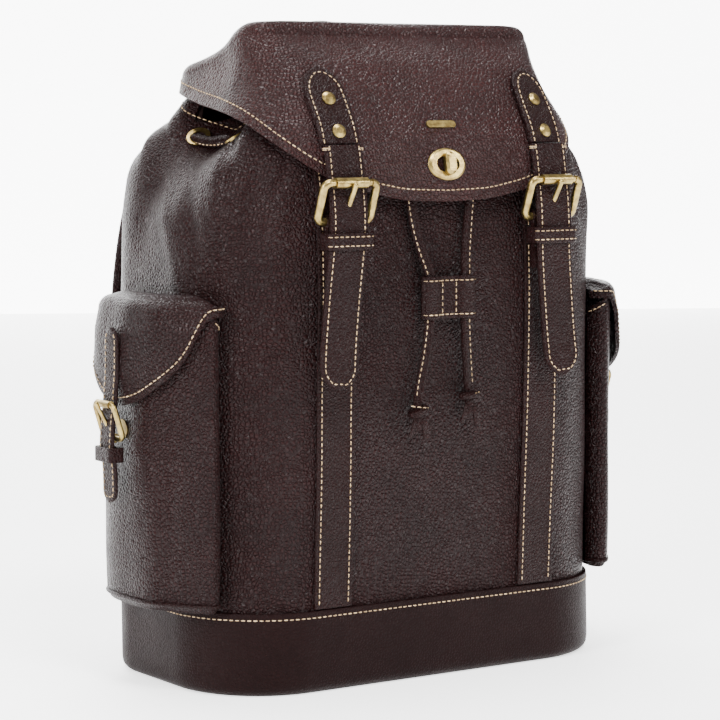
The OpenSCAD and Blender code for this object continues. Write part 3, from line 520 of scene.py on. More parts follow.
def tube(name, path, radius, material, ride, replaces=(), q=1, sides=16, flat=1.0,
        out=(0, 0, 1)):
    """Round or flattened cord along a path."""
    _, side, up = along(path, out)
    radius = np.broadcast_to(np.asarray(radius, float), (len(path),))
    a = around(sides)
    rows = (path[:, None] + side[:, None] * (radius[:, None] * cos(a))[..., None]
            + up[:, None] * (radius[:, None] * flat * sin(a))[..., None])
    return make(name, rows, tube_faces(len(path), sides), material, ride, replaces, q)


STITCH_PITCH, STITCH_LEN, STITCH_R, STITCH_SIDES = 3.7, 2.7, 0.38, 8
# along a stitch: share of its length from the middle, share of its radius, height above the leather
STITCH_RINGS = ((-0.5, 0.25, -0.38), (-0.42, 0.85, -0.05), (-0.2, 1.05, 0.16),
                (0.2, 1.05, 0.16), (0.42, 0.85, -0.05), (0.5, 0.25, -0.38))


def stitches(name, rows, ride, q=1):
    """Thread stitches along rows of (points, normals) that lie on a leather surface."""
    verts, faces = [], []
    ring = around(STITCH_SIDES)
    for pts, nrm in rows:
        n = max(2, int(round(length_of(pts) / STITCH_PITCH)))
        marks = even(np.hstack([pts, nrm]), 2 * n + 1)
        for k in range(1, 2 * n, 2):
            p, up = marks[k, :3], unit(marks[k, 3:])
            t = unit(marks[k + 1, :3] - marks[k - 1, :3])
            side = np.cross(t, up)
            faces += tube_faces(len(STITCH_RINGS), STITCH_SIDES, len(verts))
            for f, size, lift in STITCH_RINGS:
                c = p + t * f * STITCH_LEN + up * lift
                for a in ring:
                    verts.append(c + STITCH_R * size * (math.cos(a) * side + math.sin(a) * 0.8 * up))
    return make(name, verts, faces, THREAD, ride, (), q)


def on_surface(fn, a, b, lift=0.0):
    """Points and normals of a surface fn(a, b) along a line given by arrays a and b."""
    a, b = floats(a, b)
    p = fn(a, b)
    e = 0.4
    n = unit(np.cross(fn(a + e, b) - fn(a - e, b), fn(a, b + e) - fn(a, b - e)))
    return p + n * lift, n


# ---- body ----
def body_sheet(name, w_of_z, cols, replaces):
    """A panel of the body from under the base wrap to the rim; w_of_z gives its lengths round."""
    f = linspace(0, 1, cols)
    v = linspace(0, 1, 150)[:, None]
    low, top = BASE_H - 10, rim(w_of_z(np.full(1, RIM_REF), f))
    z = low + (top - low) * v
    p = body(w_of_z(z, f), z)
    return panel(name, p, LEATHER, PEBBLED, "bag", replaces)


BACK_V = 92


def front_w(z, f):
    return (f * 2 - 1) * (STRAP_X - 0.2) + 0 * z


def side_w(z, f):
    return STRAP_X + f * (body_half(z) - BACK_V - STRAP_X)


def back_w(z, f):
    """Length round for the back panel, from the right seam over the back middle to the left one."""
    v = BACK_V * (1 - 2 * f)
    return where(v >= 0, 1, -1) * (body_half(z) - abs(v))


body_sheet("front_panel_skin", front_w, 120, ["front_panel"])
body_sheet("side_panel_right_skin", side_w, 200, ["side_panel_right"])
body_sheet("side_panel_left_skin", lambda z, f: -side_w(z, 1 - f), 200, ["side_panel_left"])
body_sheet("back_panel_skin", back_w, 110, ["back_panel"])


# Lining and the facing turned in at the rim.
def ring_sheet(name, d, t, lows, highs, rows, material, replaces):
    """A closed sheet inside the body; lows and highs give its edges from the rim's height."""
    f = linspace(-1, 1, 320, endpoint=False)
    v = linspace(0, 1, rows)[:, None]
    r = rim(f * body_half(RIM_REF))
    z = lows(r) + (highs(r) - lows(r)) * v
    p = body(f * body_half(z), z, d)
    return panel(name, p, t, material, "bag", replaces, closed=True, edge=0.3)


ring_sheet("lining_cloth", -LEATHER - GAP, 0.8, lambda r: 7 + 0 * r, lambda r: r - 5, 110, LINING,
    ["lining"])
ring_sheet("mouth_facing_leather", -LEATHER - 2 * GAP - 1, 1.3, lambda r: r - 28, lambda r: r - 1, 20,
    RAW_EDGE, ["mouth_facing"])

# Sewn strips up the front.
for q, hand in SIDES:
    z = linspace(BASE_H + 0.6, 342, 150)[:, None]
    w = q * STRAP_X + linspace(-STRAP_W / 2, STRAP_W / 2, 24)
    panel("front_strip_" + hand, body(w, z, GAP + 2.0), 2.0, SMOOTH, "bag",
        ["front_strips"] if q > 0 else (), edge=0.7)
    z = linspace(BASE_H + 3, 340, 200)
    edges = [q * STRAP_X + s * (STRAP_W / 2 - 3) for s in (-1, 1)]
    stitches("front_strip_stitches_" + hand,
             [on_surface(lambda a, b: body(a, b, GAP + 2.0), w, z) for w in edges], "bag")

# Rim stitching.
RIM_STITCH = 4.5
f = linspace(-1, 1, 600)
w = f * body_half(RIM_REF)
stitches("rim_stitches", [on_surface(body, w, rim(w) - RIM_STITCH)], "bag")


# Base wrap: a plain band with a rolled lower edge.
def boot(w, z, d=0.0):
    tuck = interp(z, [0, 1.2, 2.6, 5, 9, 14, 60], [-5.2, -3.2, -1.5, -0.3, 0, 0, 0])
    return body(w, maximum(z, 0.0), LEATHER + tuck + d, plain=True)


BOOT_COLS = 400
f = linspace(-1, 1, BOOT_COLS, endpoint=False)
z = concatenate([[0.3, 0.7, 1.2, 2, 3, 4.5, 6.5, 9, 12], linspace(16, BASE_H, 16)])[:, None]
p = boot(f * body_half(z), z)
p[-1, :] = boot(f * body_half(BASE_H), BASE_H)
panel("base_wrap", p, 2.0, BASE, "bag", ["base_boot"], closed=True, edge=0.7)
sole_ring = boot(f * body_half(1.0), 0.6, -0.4)
sole_ring[:, 2] = 0.05
inner = [sole_ring * [k, k, 1] for k in (0.99, 0.9, 0.5, 0.1)]
loops = inner + [r + [0, 0, 1.5] for r in reversed(inner)]
n, rings = BOOT_COLS, len(inner)
quads = grid_faces(rings, n, True) + grid_faces(rings, n, True, rings * n)
faces = [tuple(reversed(x)) for x in quads]
faces.append([(rings - 1) * n + k for k in range(n)])
faces.append([rings * n + k for k in range(n - 1, -1, -1)])
last = (2 * rings - 1) * n
faces += [(k, (k + 1) % n, last + (k + 1) % n, last + k) for k in range(n)]
make("sole", loops, faces, BASE, "bag")
f = linspace(-1, 1, 900)
stitches("base_wrap_stitches", [on_surface(boot, f * body_half(BASE_H - 4), BASE_H - 4 + 0 * f)], "bag")

# ---- drawstring ----
# the two hanging tails, from the eyelet down to the knot
TAIL_LEFT = [
    [-25, -74.8, 334.8], [-25, -77.6, 335], [-25, -79.9, 332], [-25, -80.9, 326],
    [-24.8, -82.5, 316], [-24.3, -85.2, 300], [-22.5, -86.8, 284], [-18.5, -88.6, 268],
    [-14.4, -90.4, 256], [-13.5, -91, 250], [-13.5, -91, 226], [-14, -90.9, 218],
    [-16, -90.2, 202], [-19, -89.2, 186], [-20.6, -88.6, 174]]
TAIL_RIGHT = [
    [25, -74.8, 334.8], [25, -77.6, 335], [25, -79.9, 332], [24.8, -80.9, 326],
    [23.5, -82.5, 316], [20.5, -85.2, 300], [18, -86.8, 284], [15.4, -88.6, 268],
    [13.8, -90.4, 256], [13.5, -91, 250], [13.5, -91, 226], [13.8, -90.9, 218],
    [15, -90.2, 204], [16.8, -89.2, 190], [18, -88.7, 180]]


def piped(name, path, out, lean, ride, replaces=(), q=1):
    """Drawstring: leather rolled round a core, with a stitched fin on one side (lean 1 or -1)."""
    _, side, up = along(path, out)
    a = around(26)
    u, v = 2.35 * cos(a), 2.35 * sin(a)
    fin = clip((cos(a) - 0.35) / 0.65, 0, 1)
    u = u + fin * 2.2 - 1.0
    v = where(fin > 0, np.sign(v) * minimum(abs(v), 0.85 + 0.5 * (1 - fin)), v) + 0.1
    rows = path[:, None] + side[:, None] * (lean * u)[:, None] + up[:, None] * v[:, None]
    faces = tube_faces(len(path), len(a))
    if lean < 0:
        faces = [tuple(reversed(x)) for x in faces]
    o = make(name, rows, faces, SMOOTH, ride, replaces, q)
    return o, (path + side * (lean * 2.2) + up * 0.95, up)


for q, hand, tail in ((1, "right", TAIL_RIGHT), (-1, "left", TAIL_LEFT)):
    path = curve(tail, 90)
    cord, row = piped("cord_%s" % hand, path, (0, -1, 0.02), -q, "bag", ["cord_tail_" + hand])
    cord_thread = stitches("cord_stitches_" + hand, [(row[0][8:-2], row[1][8:-2])], "bag")
    end = path[-1]
    # the knot: one turn of the cord round itself, with the cut ends splayed below
    coil = []
    for a in linspace(-0.3, 2 * math.pi + 0.3, 46):
        coil.append(end + [4.1 * math.cos(a), -0.2 - 2.3 * math.sin(a),
                           -4.6 + q * 1.6 * math.sin(a / 2) + 0.9 * math.cos(a)])
    knot = tube("knot_" + hand, array(coil), 3.1, SMOOTH, "bag", replaces=["cord_knot_" + hand],
                sides=18, flat=0.8, out=(0, 0, 1))
    pts = curve([end + [0, 0.4, 0.8], end + [0, 0.2, -4], end + [0.3, -0.4, -10.5]], 14)
    thick = interp(linspace(0, 1, 14), [0, 0.5, 1], [2.5, 3.4, 3.0])
    heart = tube("knot_core_" + hand, pts, thick, SMOOTH, "bag", flat=0.8, out=(0, -1, 0))
    ends = [heart]
    for k, (x, drop, turn) in enumerate(((-4.6, 20.5, 0.5), (-0.6, 17.0, 0.0), (4.4, 22.5, -0.5))):
        pts = curve([end + [x * 0.3, -0.4, -7.5], end + [x * 0.62, -1.7, -11.5],
                     end + [x * 0.95, -2.0, -15.5], end + [x * 1.35, -0.6, -drop]], 16)
        half = interp(linspace(0, 1, 16), [0, 0.4, 1], [1.8, 2.5, 2.0])
        ends.append(strap("cord_end_%s_%d" % (hand, k), pts, half, 1.5,
                          (0.5 * turn, -1, 0.05), "bag", crown=0.2))
    a = linspace(-math.pi * 0.95, -math.pi * 0.05, 24)
    pts = stack([end[0] + 6.6 * cos(a), end[1] - 0.4 + 4.3 * sin(a),
                    end[2] - 2.5 + q * 0.9 * cos(a)], -1)
    nrm = unit(stack([cos(a), sin(a), 0 * a + 0.5], -1))
    knot_thread = stitches("knot_stitches_" + hand, [(pts, nrm)], "bag")
    ends += [cord_thread]


# The run round the neck: inside the leather, out over each pleat from eyelet to eyelet.
EYE_Z = 334.0


def neck_at(w, z, d):
    p = body(w, z, d, plain=True)
    return concatenate([p, unit(body(w, z, d + 1.0, plain=True) - p)])


NECK_Z, NECK_IN = EYE_Z - 5, -13.2
inner = [neck_at(w, NECK_Z, NECK_IN)
         for w in (float(body_half(NECK_Z)), 345, 320, 300, 280, 262, 245, 232, 220)]
pleat = [neck_at(w, EYE_Z, d)
         for w, d in ((209, -12.8), (203.6, -9.6), (203, -5), (203, 0), (202.4, 4), (198, 7))]
front_end = [neck_at(w, EYE_Z, d)
             for w, d in ((171, 7), (166.6, 4), (166, 0), (166, -5), (165.4, -9.6), (160, -12.8))]
chord = [pleat[-1] * (1 - k) + front_end[0] * k - [0, 0, 1.2, 0, 0, 0] for k in (1 / 3, 2 / 3)]
inner_front = [neck_at(w, NECK_Z, NECK_IN) for w in (148, 134, 120, 105, 90, 75, 60, 45)]
by_lock = [neck_at(w, EYE_Z, d) for w, d in ((31, -12.8), (25.6, -9.6), (25, -5), (25, 0.4))]
neck = curve(array(inner + pleat + chord + front_end + inner_front + by_lock), 420)
over = (neck[:, 0] > 100) & (neck[:, 0] < 121) & (neck[:, 1] > -22) & (neck[:, 1] < 16)
for q, hand in SIDES:
    _, (line, up) = piped("neck_cord_" + hand, neck[:, :3], neck[:, 3:], -1, "bag",
                        ["neck_cord"] if q > 0 else (), q)
    stitches("neck_cord_stitches_" + hand, [(line[over], up[over])], "bag", q)

# The slider: two channels for the cord, stitched flat between and beyond them.
SLIDER_X, SLIDER_Y, SLIDER_Z, SLIDER_H = 13.5, -91, 225, 26
xs = linspace(-19.6, 19.6, 61)
bulge = sum(maximum(0, 1 - ((xs - s * SLIDER_X) / 6.3) ** 2) ** 0.5 for s in (-1, 1))
front = 1.6 + 2.7 * bulge
front = where(abs(xs) > 18.8, 1.2, front)
outline = [(x, SLIDER_Y - f) for x, f in zip(xs, front)]
outline += [(x, SLIDER_Y + 0.9 + 0.75 * (f - 1.0)) for x, f in zip(xs[::-1], front[::-1])]
zz = concatenate([[0, 0.25, 0.8], linspace(1.6, SLIDER_H - 1.6, 14),
                     [SLIDER_H - 0.8, SLIDER_H - 0.25, SLIDER_H]])
rows = []
for v in zz:
    k = 1 - 0.05 * max(0, 1 - min(v, SLIDER_H - v) / 0.8) ** 2
    deep = 0.9 if k < 1 else 1
    rows.append([(x * k, SLIDER_Y + (y - SLIDER_Y) * deep, SLIDER_Z + v) for x, y in outline])
n = len(outline)
faces = grid_faces(len(rows), n, True)
half_n = len(xs)
for row, flip in ((0, True), (len(rows) - 1, False)):
    for k in range(half_n - 1):
        quad = [row * n + i for i in (k, k + 1, n - 2 - k, n - 1 - k)]
        faces.append(tuple(reversed(quad)) if flip else quad)
make("slider_leather", rows, faces, SMOOTH, "slider", ["cord_slider"])


def slider_row(points):
    return facing_row([(x, SLIDER_Y - interp(x, xs, front) - 0.05, z) for x, z in points], (0, -1, 0))


across = [slider_row([(x, SLIDER_Z + z) for x in linspace(-19, 19, 60)])
          for z in (2.6, SLIDER_H - 2.6)]
upright = [slider_row([(x, SLIDER_Z + z) for z in linspace(3, SLIDER_H - 3, 20)])
           for x in (-5.2, 5.2)]
stitches("slider_stitches", across + upright, "slider")

# ---- flap ----
t = linspace(-1, 1, 420, endpoint=False)
m = concatenate([[0, 0.006, 0.014, 0.025], linspace(0.04, WALL_END, 40),
                    linspace(WALL_END, BEND_END, 14)[1:],
                    linspace(BEND_END, 0.995, 40)[1:]])[:, None]


# middle round the flap, middle height share, their half sizes, depth
FLAP_FOLDS = ((0.34, 0.32, 0.03, 0.35, -1.6), (-0.34, 0.32, 0.03, 0.35, -1.6),
              (0.43, 0.4, 0.03, 0.3, 1.2), (-0.43, 0.4, 0.03, 0.3, 1.2),
              (0.0, 0.95, 3.0, 0.1, -1.5), (0.05, 0.35, 0.08, 0.2, 0.6))


def flap_folds(t, m):
    """Soft waves of the flap, outward, mm."""
    out = 0.7 * sin(t * 19 + 2 * m) * sin(math.pi * clip(m / 0.7, 0, 1))
    for t0, m0, st, sm, deep in FLAP_FOLDS:
        out = out + deep * exp(-((t - t0) / st) ** 2 - ((m - m0) / sm) ** 2)
    return out * clip(m / 0.08, 0, 1)


def flap_skin(t, m, d=0.0):
    return flap(t, m, np.asarray(d, float) + flap_folds(t, m))


p = flap_skin(t, m)
r, c = p.shape[:2]
crown = array([0.0]), array([1.0])
verts = vstack([p.reshape(-1, 3), flap_skin(*crown)])
last = (r - 1) * c
faces = grid_faces(r, c, True) + [(last + k, last + (k + 1) % c, r * c) for k in range(c)]
# the flap takes the lighter copy of the pebbled leather: painted light
flap_piece = make("flap_skin", verts, faces, FLAP_LIT_LEATHER, "flap", ["flap_leather"])
thicken(flap_piece, LEATHER, 0.9)

p = flap_skin(t, maximum(m, 0.012), -LEATHER - GAP)
verts = vstack([p.reshape(-1, 3), flap_skin(*crown, -LEATHER - GAP)])
facing = make("flap_lining", verts, faces, RAW_EDGE, "flap", ["flap_facing"])
thicken(facing, 0.9, 0)

tt = linspace(-0.7, 0.7, 1600)
low, high = col(EDGE_SMOOTH, abs(tt)), col(SHOULDER_SMOOTH, abs(tt))
stitch_m = WALL_END * 6.8 / (high - BEND_R - low)
pts, nrm = on_surface(lambda a, b: flap_skin(a / 150, b / 60), tt * 150, stitch_m * 60)
stitches("flap_edge_stitches", [(pts, nrm)], "flap")


def flap_front(w, z, d=0.0):
    """The flap's front at length w from its middle and height z."""
    return wall(FLAP_SMOOTH, w, z, d)[0]


# ---- closure straps ----
HALF_W = STRAP_W / 2
STITCH_LIFT = STRAP_T / 2 + 0.1
KEEPER_Y, KEEPER_X_HALF, KEEPER_Y_HALF = -94.9, 16.3, 6.3
# height and share of the keeper's outline
KEEPER_ROWS = [(269.5, 0.975), (270.0, 0.995), (271, 1), (274.5, 1.003), (278, 1), (279, 0.995),
               (279.5, 0.975)]
# height and how far outward the strap's middle leans there
LEAN = [(186, 8.0), (200, 7.0), (240, 3.4), (262, 1.3), (276, 0.4), (290, 0), (331, 0)]
# height and share of the full width, up to the strap's pointed upper end
UPPER = [(332, 1), (345, 1), (357, 1), (363, 0.99), (367, 0.95), (370, 0.87), (373, 0.7), (375.5, 0.45),
    (377.4, 0.14)]
# y and height of the strap's middle, from the flap's edge down
STRAP_RUN = [(-90.3, 331), (-92.2, 322), (-94.4, 309), (-96.2, 298), (-97.2, 288), (-97.4, 276),
    (-96.6, 262), (-96, 240), (-96, 215), (-96.8, 200), (-97.6, 192), (-98.2, 186)]


def keeper_line(a):
    """Outline of a closure strap's keeper, from its middle."""
    return boxy(cos(a), KEEPER_X_HALF, 0.28), boxy(sin(a), KEEPER_Y_HALF, 0.32)


for q, hand in SIDES:
    ride = "closure_" + hand
    zs = linspace(331.5, 377.6, 60)
    mid = flap_front(np.full(60, STRAP_X), zs, GAP + STRAP_T / 2)
    nrm = on_surface(flap_front, np.full(60, float(STRAP_X)), zs)[1]
    share = interp(zs, *zip(*UPPER))
    strap("strap_top_" + hand, mid, HALF_W * share, STRAP_T, nrm, "flap",
          replaces=["flap_straps"] if q > 0 else (), q=q)
    edge = HALF_W * interp(zs + 2.4, *zip(*UPPER)) - 2.8
    side = unit(np.cross(np.gradient(mid, axis=0), nrm))
    keep = zs < 374.2
    stitches("strap_top_stitches_" + hand, [both_edges(mid, side, nrm, edge, STITCH_LIFT, keep)], "flap", q)

    path = curve([(STRAP_X + interp(z, *zip(*LEAN)), y, z) for y, z in STRAP_RUN], 120)
    share = interp(path[:, 2], [185.9, 187.5, 190, 194, 198, 400], [0.12, 0.35, 0.62, 0.9, 1, 1])
    strap("closure_strap_leather_" + hand, path, HALF_W * share, STRAP_T, (0, -1, 0), ride,
          replaces=["closure_strap_" + hand], q=q)
    _, side, up = along(path, (0, -1, 0))
    edge = maximum(HALF_W * share - 3, 0)
    keep = path[:, 2] > 189
    stitches("closure_strap_stitches_" + hand, [both_edges(path, side, up, edge, STITCH_LIFT, keep)],
             ride, q)
    tack = ((10.2, 0), (12.6, 0.1), (14.2, 0.9))
    bars = [facing_row([[STRAP_X + s * x, -92.05 + dy, z] for x, dy in tack], (0, -1, 0.12))
            for s in (-1, 1) for z in (329.4, 328.4)]
    stitches("strap_bartacks_" + hand, bars, ride, q)

    # keeper: a loop of leather with two stitch rows
    a = around(64)
    x, y = keeper_line(a)
    rows = []
    for z, k in KEEPER_ROWS:
        deep = 1 - (1 - k) * 2.4
        rows.append(stack([STRAP_X + x * k, KEEPER_Y + y * deep, z + 0 * x], -1))
    panel("keeper_leather_" + hand, rows, 1.7, SMOOTH, ride, ["buckle_keeper_" + hand],
        closed=True, q=q, edge=0.4)
    x, y = keeper_line(linspace(math.pi * 1.08, math.pi * 1.92, 40))
    front_rows = [facing_row(stack([STRAP_X + x, KEEPER_Y + y - 0.05, z + 0 * x], -1), (0, -1, 0))
                  for z in (271.8, 277.2)]
    stitches("keeper_stitches_" + hand, front_rows, ride, q)

# ---- pockets ----
OUT = 3  # the straps stand off by this much, clear of the lid's bulge
POCKET_POINTS = [
    [142.4, -50], [142.7, -55], [145.6, -60], [150.6, -61.2], [156, -56.4], [162.2, -48.4],
    [POCKET_FACE - 8.8, -39.6], [POCKET_FACE - 3.4, -29.6], [POCKET_FACE - 0.5, -17],
    [POCKET_FACE, POCKET_MID], [POCKET_FACE - 0.4, 10], [POCKET_FACE - 2.4, 22],
    [POCKET_FACE - 6.8, 33], [161.5, 41], [151.8, 42.4]]
POCKET_COLS, LID_COLS = 150, 160
pocket_line = curve([p + [0] for p in POCKET_POINTS], POCKET_COLS)[:, :2]


def offset(line, d):
    tan = unit(np.gradient(line, axis=0))
    return line + stack([tan[:, 1], -tan[:, 0]], -1) * np.asarray(d)[..., None]


LID_Z, LID_T = POCKET_TOP + 1, 3
BODY_SIDE = 152.4  # where the lid's inner edge meets the body
P_HALF = 8  # half width of the pocket's strap
# distance outward and height of the pocket strap's middle
P_RUN = [(5.4, 222), (5.4, 217), (5.5, 200), (6, 190), (6.6, 183), (7, 176), (8.2, 166), (9.2, 155),
    (9.2, 147), (7.6, 138), (7.2, 124), (7.4, 116)]
# distance round from the lid's middle and height of its edge over the pocket's top
LID_EDGE = [(0, -61.5), (13, -60.2), (25, -55.7), (39, -45.2), (47, -37), (52.5, -28), (56, -16), (58, -6)]
# height from the lid's top and how far the skirt stands out there
LID_BULGE = [(-66, 2.4), (-45, 4), (-20, 3), (-5, 0), (0, 0)]
for q, hand in SIDES:
    ride, tongue = "pocket_lid_" + hand, "pocket_tongue_" + hand
    zs = concatenate([[0, 0.5, 1.3, 2.6, 4.4, 7], linspace(11, POCKET_TOP - POCKET_LOW, 60)])
    tuck = interp(zs, [0, 0.5, 1.3, 2.6, 4.4, 7, 60, 120, 190],
        [-3.4, -2.6, -1.8, -1.0, -0.4, 0, 0.6, 0.5, 0])
    wave = linspace(0, 1, POCKET_COLS)
    drop = 12 * (1 - eased_ends(wave))
    rows = []
    for z, d in zip(zs, tuck):
        sag = 1.1 * sin(wave * 9 + z / 31) * sin(math.pi * wave)
        sag = sag * min(1, z / 30) * clip((185 - z) / 40, 0, 1)
        dent = -1.6 * exp(-((wave - 0.34) / 0.05) ** 2 - ((z - 70) / 55) ** 2)
        o = offset(pocket_line, d + sag + dent)
        rows.append(column_stack([o, POCKET_LOW + z - drop * clip((z - 120) / 64, 0, 1)]))
    shell_top = rows[-1]
    panel("pocket_leather_" + hand, rows, LEATHER, PEBBLED, "bag", ["pocket_%s_shell" % hand],
        q=q)
    end = slice(2, 16)
    tacks = column_stack([pocket_line[end], shell_top[end, 2] - 3.4])
    out = column_stack([(offset(pocket_line, 1.0) - pocket_line)[end], 0 * wave[end]])
    stitches("pocket_tacks_" + hand, [(tacks + out * 0.4, out)], "bag", q)
    pipe = column_stack([offset(pocket_line, -0.5), 0 * wave + POCKET_LOW + 4.6])
    tube("pocket_piping_" + hand, pipe, 1.5, SMOOTH, "bag", q=q, sides=12)
    by_body = [(152.2, 36), (152.2, -20), (149.4, -34), (145.5, -46)]
    ring = [(x, y, POCKET_LOW + 0.6) for x, y in [*offset(pocket_line, -2.2)[4:-2], *by_body]]
    n = len(ring)
    verts = ring + [(x, y, z + 1.8) for x, y, z in ring]
    fl = [tuple(range(n))[::-1], tuple(range(n, 2 * n))]
    fl += [(k, (k + 1) % n, n + (k + 1) % n, n + k) for k in range(n)]
    make("pocket_floor_" + hand, verts, fl, SMOOTH, "bag", q=q, smooth=False)

    # lid: bulging round skirt, soft shoulder and a top that falls towards both corners
    line = offset(pocket_line, 0.9 + LEATHER)
    line = even(line[5:-4], LID_COLS)
    f = linspace(0, 1, LID_COLS)
    ends = eased_ends(f)
    shoulder = 2.6 + 6.4 * ends
    top_z = LID_Z + LID_T - 4.6 * (1 - ends)
    s_at = where(line[:, 1] > POCKET_MID, 1.27, -1) * (line[:, 1] - POCKET_MID)
    low = POCKET_TOP + where(line[:, 0] < 150, -6.0, interp(s_at, *zip(*LID_EDGE)))
    k = exp(-(np.arange(-14, 15) / 6.0) ** 2)
    low = np.convolve(np.pad(low, 14, mode="edge"), k / k.sum(), mode="valid")
    low = minimum(low, top_z - shoulder - 1.2)
    tan = unit(np.gradient(line, axis=0))
    inward = stack([-tan[:, 1], tan[:, 0]], -1)

    def skirt(z):
        bulge = interp(z - top_z, *zip(*LID_BULGE)) + 0.5 * sin(f * 26)
        return line - inward * (ends * bulge)[:, None]

    rows = []
    for v in concatenate([[0, 0.012, 0.03], linspace(0.06, 1, 30)]):
        z = low + (top_z - shoulder - low) * v
        rows.append(column_stack([skirt(z), z]))
    last = rows[-1][:, :2]
    for g in np.radians(linspace(0, 90, 10)[1:]):
        xy = last + inward * (shoulder * (1 - math.cos(g)))[:, None]
        rows.append(column_stack([xy, top_z - shoulder + shoulder * math.sin(g)]))
    in_line = last + inward * shoulder[:, None]
    wall_in = even(array([(143.6, -48.5), (148.2, -37), (151.2, -26), (BODY_SIDE, -14),
        (BODY_SIDE, 10), (BODY_SIDE, 39.5)]), LID_COLS)
    for v in linspace(0, 1, 18)[1:]:
        xy = in_line * (1 - v) + wall_in * v
        rows.append(column_stack([xy, top_z + 1.8 * ends * math.sin(math.pi * v * 0.9)]))
    panel("pocket_lid_leather_" + hand, rows, LEATHER, PEBBLED, ride, ["pocket_%s_flap" % hand],
        q=q, edge=1.0)
    nrm = column_stack([-inward, 0 * low])
    stitches("pocket_lid_stitches_" + hand,
             [(column_stack([skirt(low + 4.8) - inward * 0.15, low + 4.8])[3:-3], nrm[3:-3])], ride, q)

    path = curve([(POCKET_FACE + OUT + x, POCKET_MID, z) for x, z in P_RUN], 90)
    share = interp(path[:, 2], [115.9, 117.5, 120, 123, 214, 217.5, 220, 222.1],
        [0.15, 0.55, 0.88, 1, 1, 0.88, 0.55, 0.15])
    strap("pocket_strap_leather_" + hand, path, P_HALF * share, 2.4, (1, 0, 0), tongue,
          replaces=["pocket_%s_strap" % hand], q=q)
    _, side, up = along(path, (1, 0, 0))
    edge = maximum(P_HALF * share - 2.4, 0)
    keep = (path[:, 2] > 118.5) & (path[:, 2] < 219.5)
    stitches("pocket_strap_stitches_" + hand, [both_edges(path, side, up, edge, 1.3, keep)],
             tongue, q)
    a = around(56)
    kx = POCKET_FACE + OUT + 7.9 + boxy(cos(a), 5.3, 0.32)
    ky = POCKET_MID + boxy(sin(a), 10.2, 0.28)
    rows = [column_stack([kx, ky, 0 * kx + z]) for z in (141, 142, 145.5, 149, 150)]
    panel("pocket_keeper_leather_" + hand, rows, 1.5, SMOOTH, tongue, ["pocket_%s_keeper" % hand],
        closed=True, q=q, edge=0.4)

# ---- carrying ----
# shoulder pad's middle from the patch down: x, y, z, half width
PAD_RUN = [(76, 80, 336, 14), (77, 92, 334, 17), (78, 106, 322, 22), (80, 117, 300, 26), (84, 124, 265, 27),
    (90, 125, 220, 26), (98, 119, 175, 22), (105, 109, 140, 17), (109, 101, 118, 13)]
PAD_SIDES, PAD_SEAM, WIRE_R, HANDLE_R = 48, 5, 1.5, 4.3
HANDLE = [(0, 50, 405.5), (10, 50.6, 404.6), (20, 53, 401), (30, 58, 392), (36, 62, 378), (37.5, 63.4, 364),
    (37.5, 63.4, 354)]
path = curve([(-x, y, z) for x, y, z in HANDLE[::-1]] + [(x, y, z) for x, y, z in HANDLE[1:]], 110)
tube("handle_leather", path, HANDLE_R, SMOOTH, "handle", replaces=["handle_loop"], out=(0, 0.9, 0.3),
     sides=20)
_, _, up = along(path, (0, -1, 0.2))
stitches("handle_stitches", [((path + up * (HANDLE_R - 0.05))[8:-8], up[8:-8])], "handle")
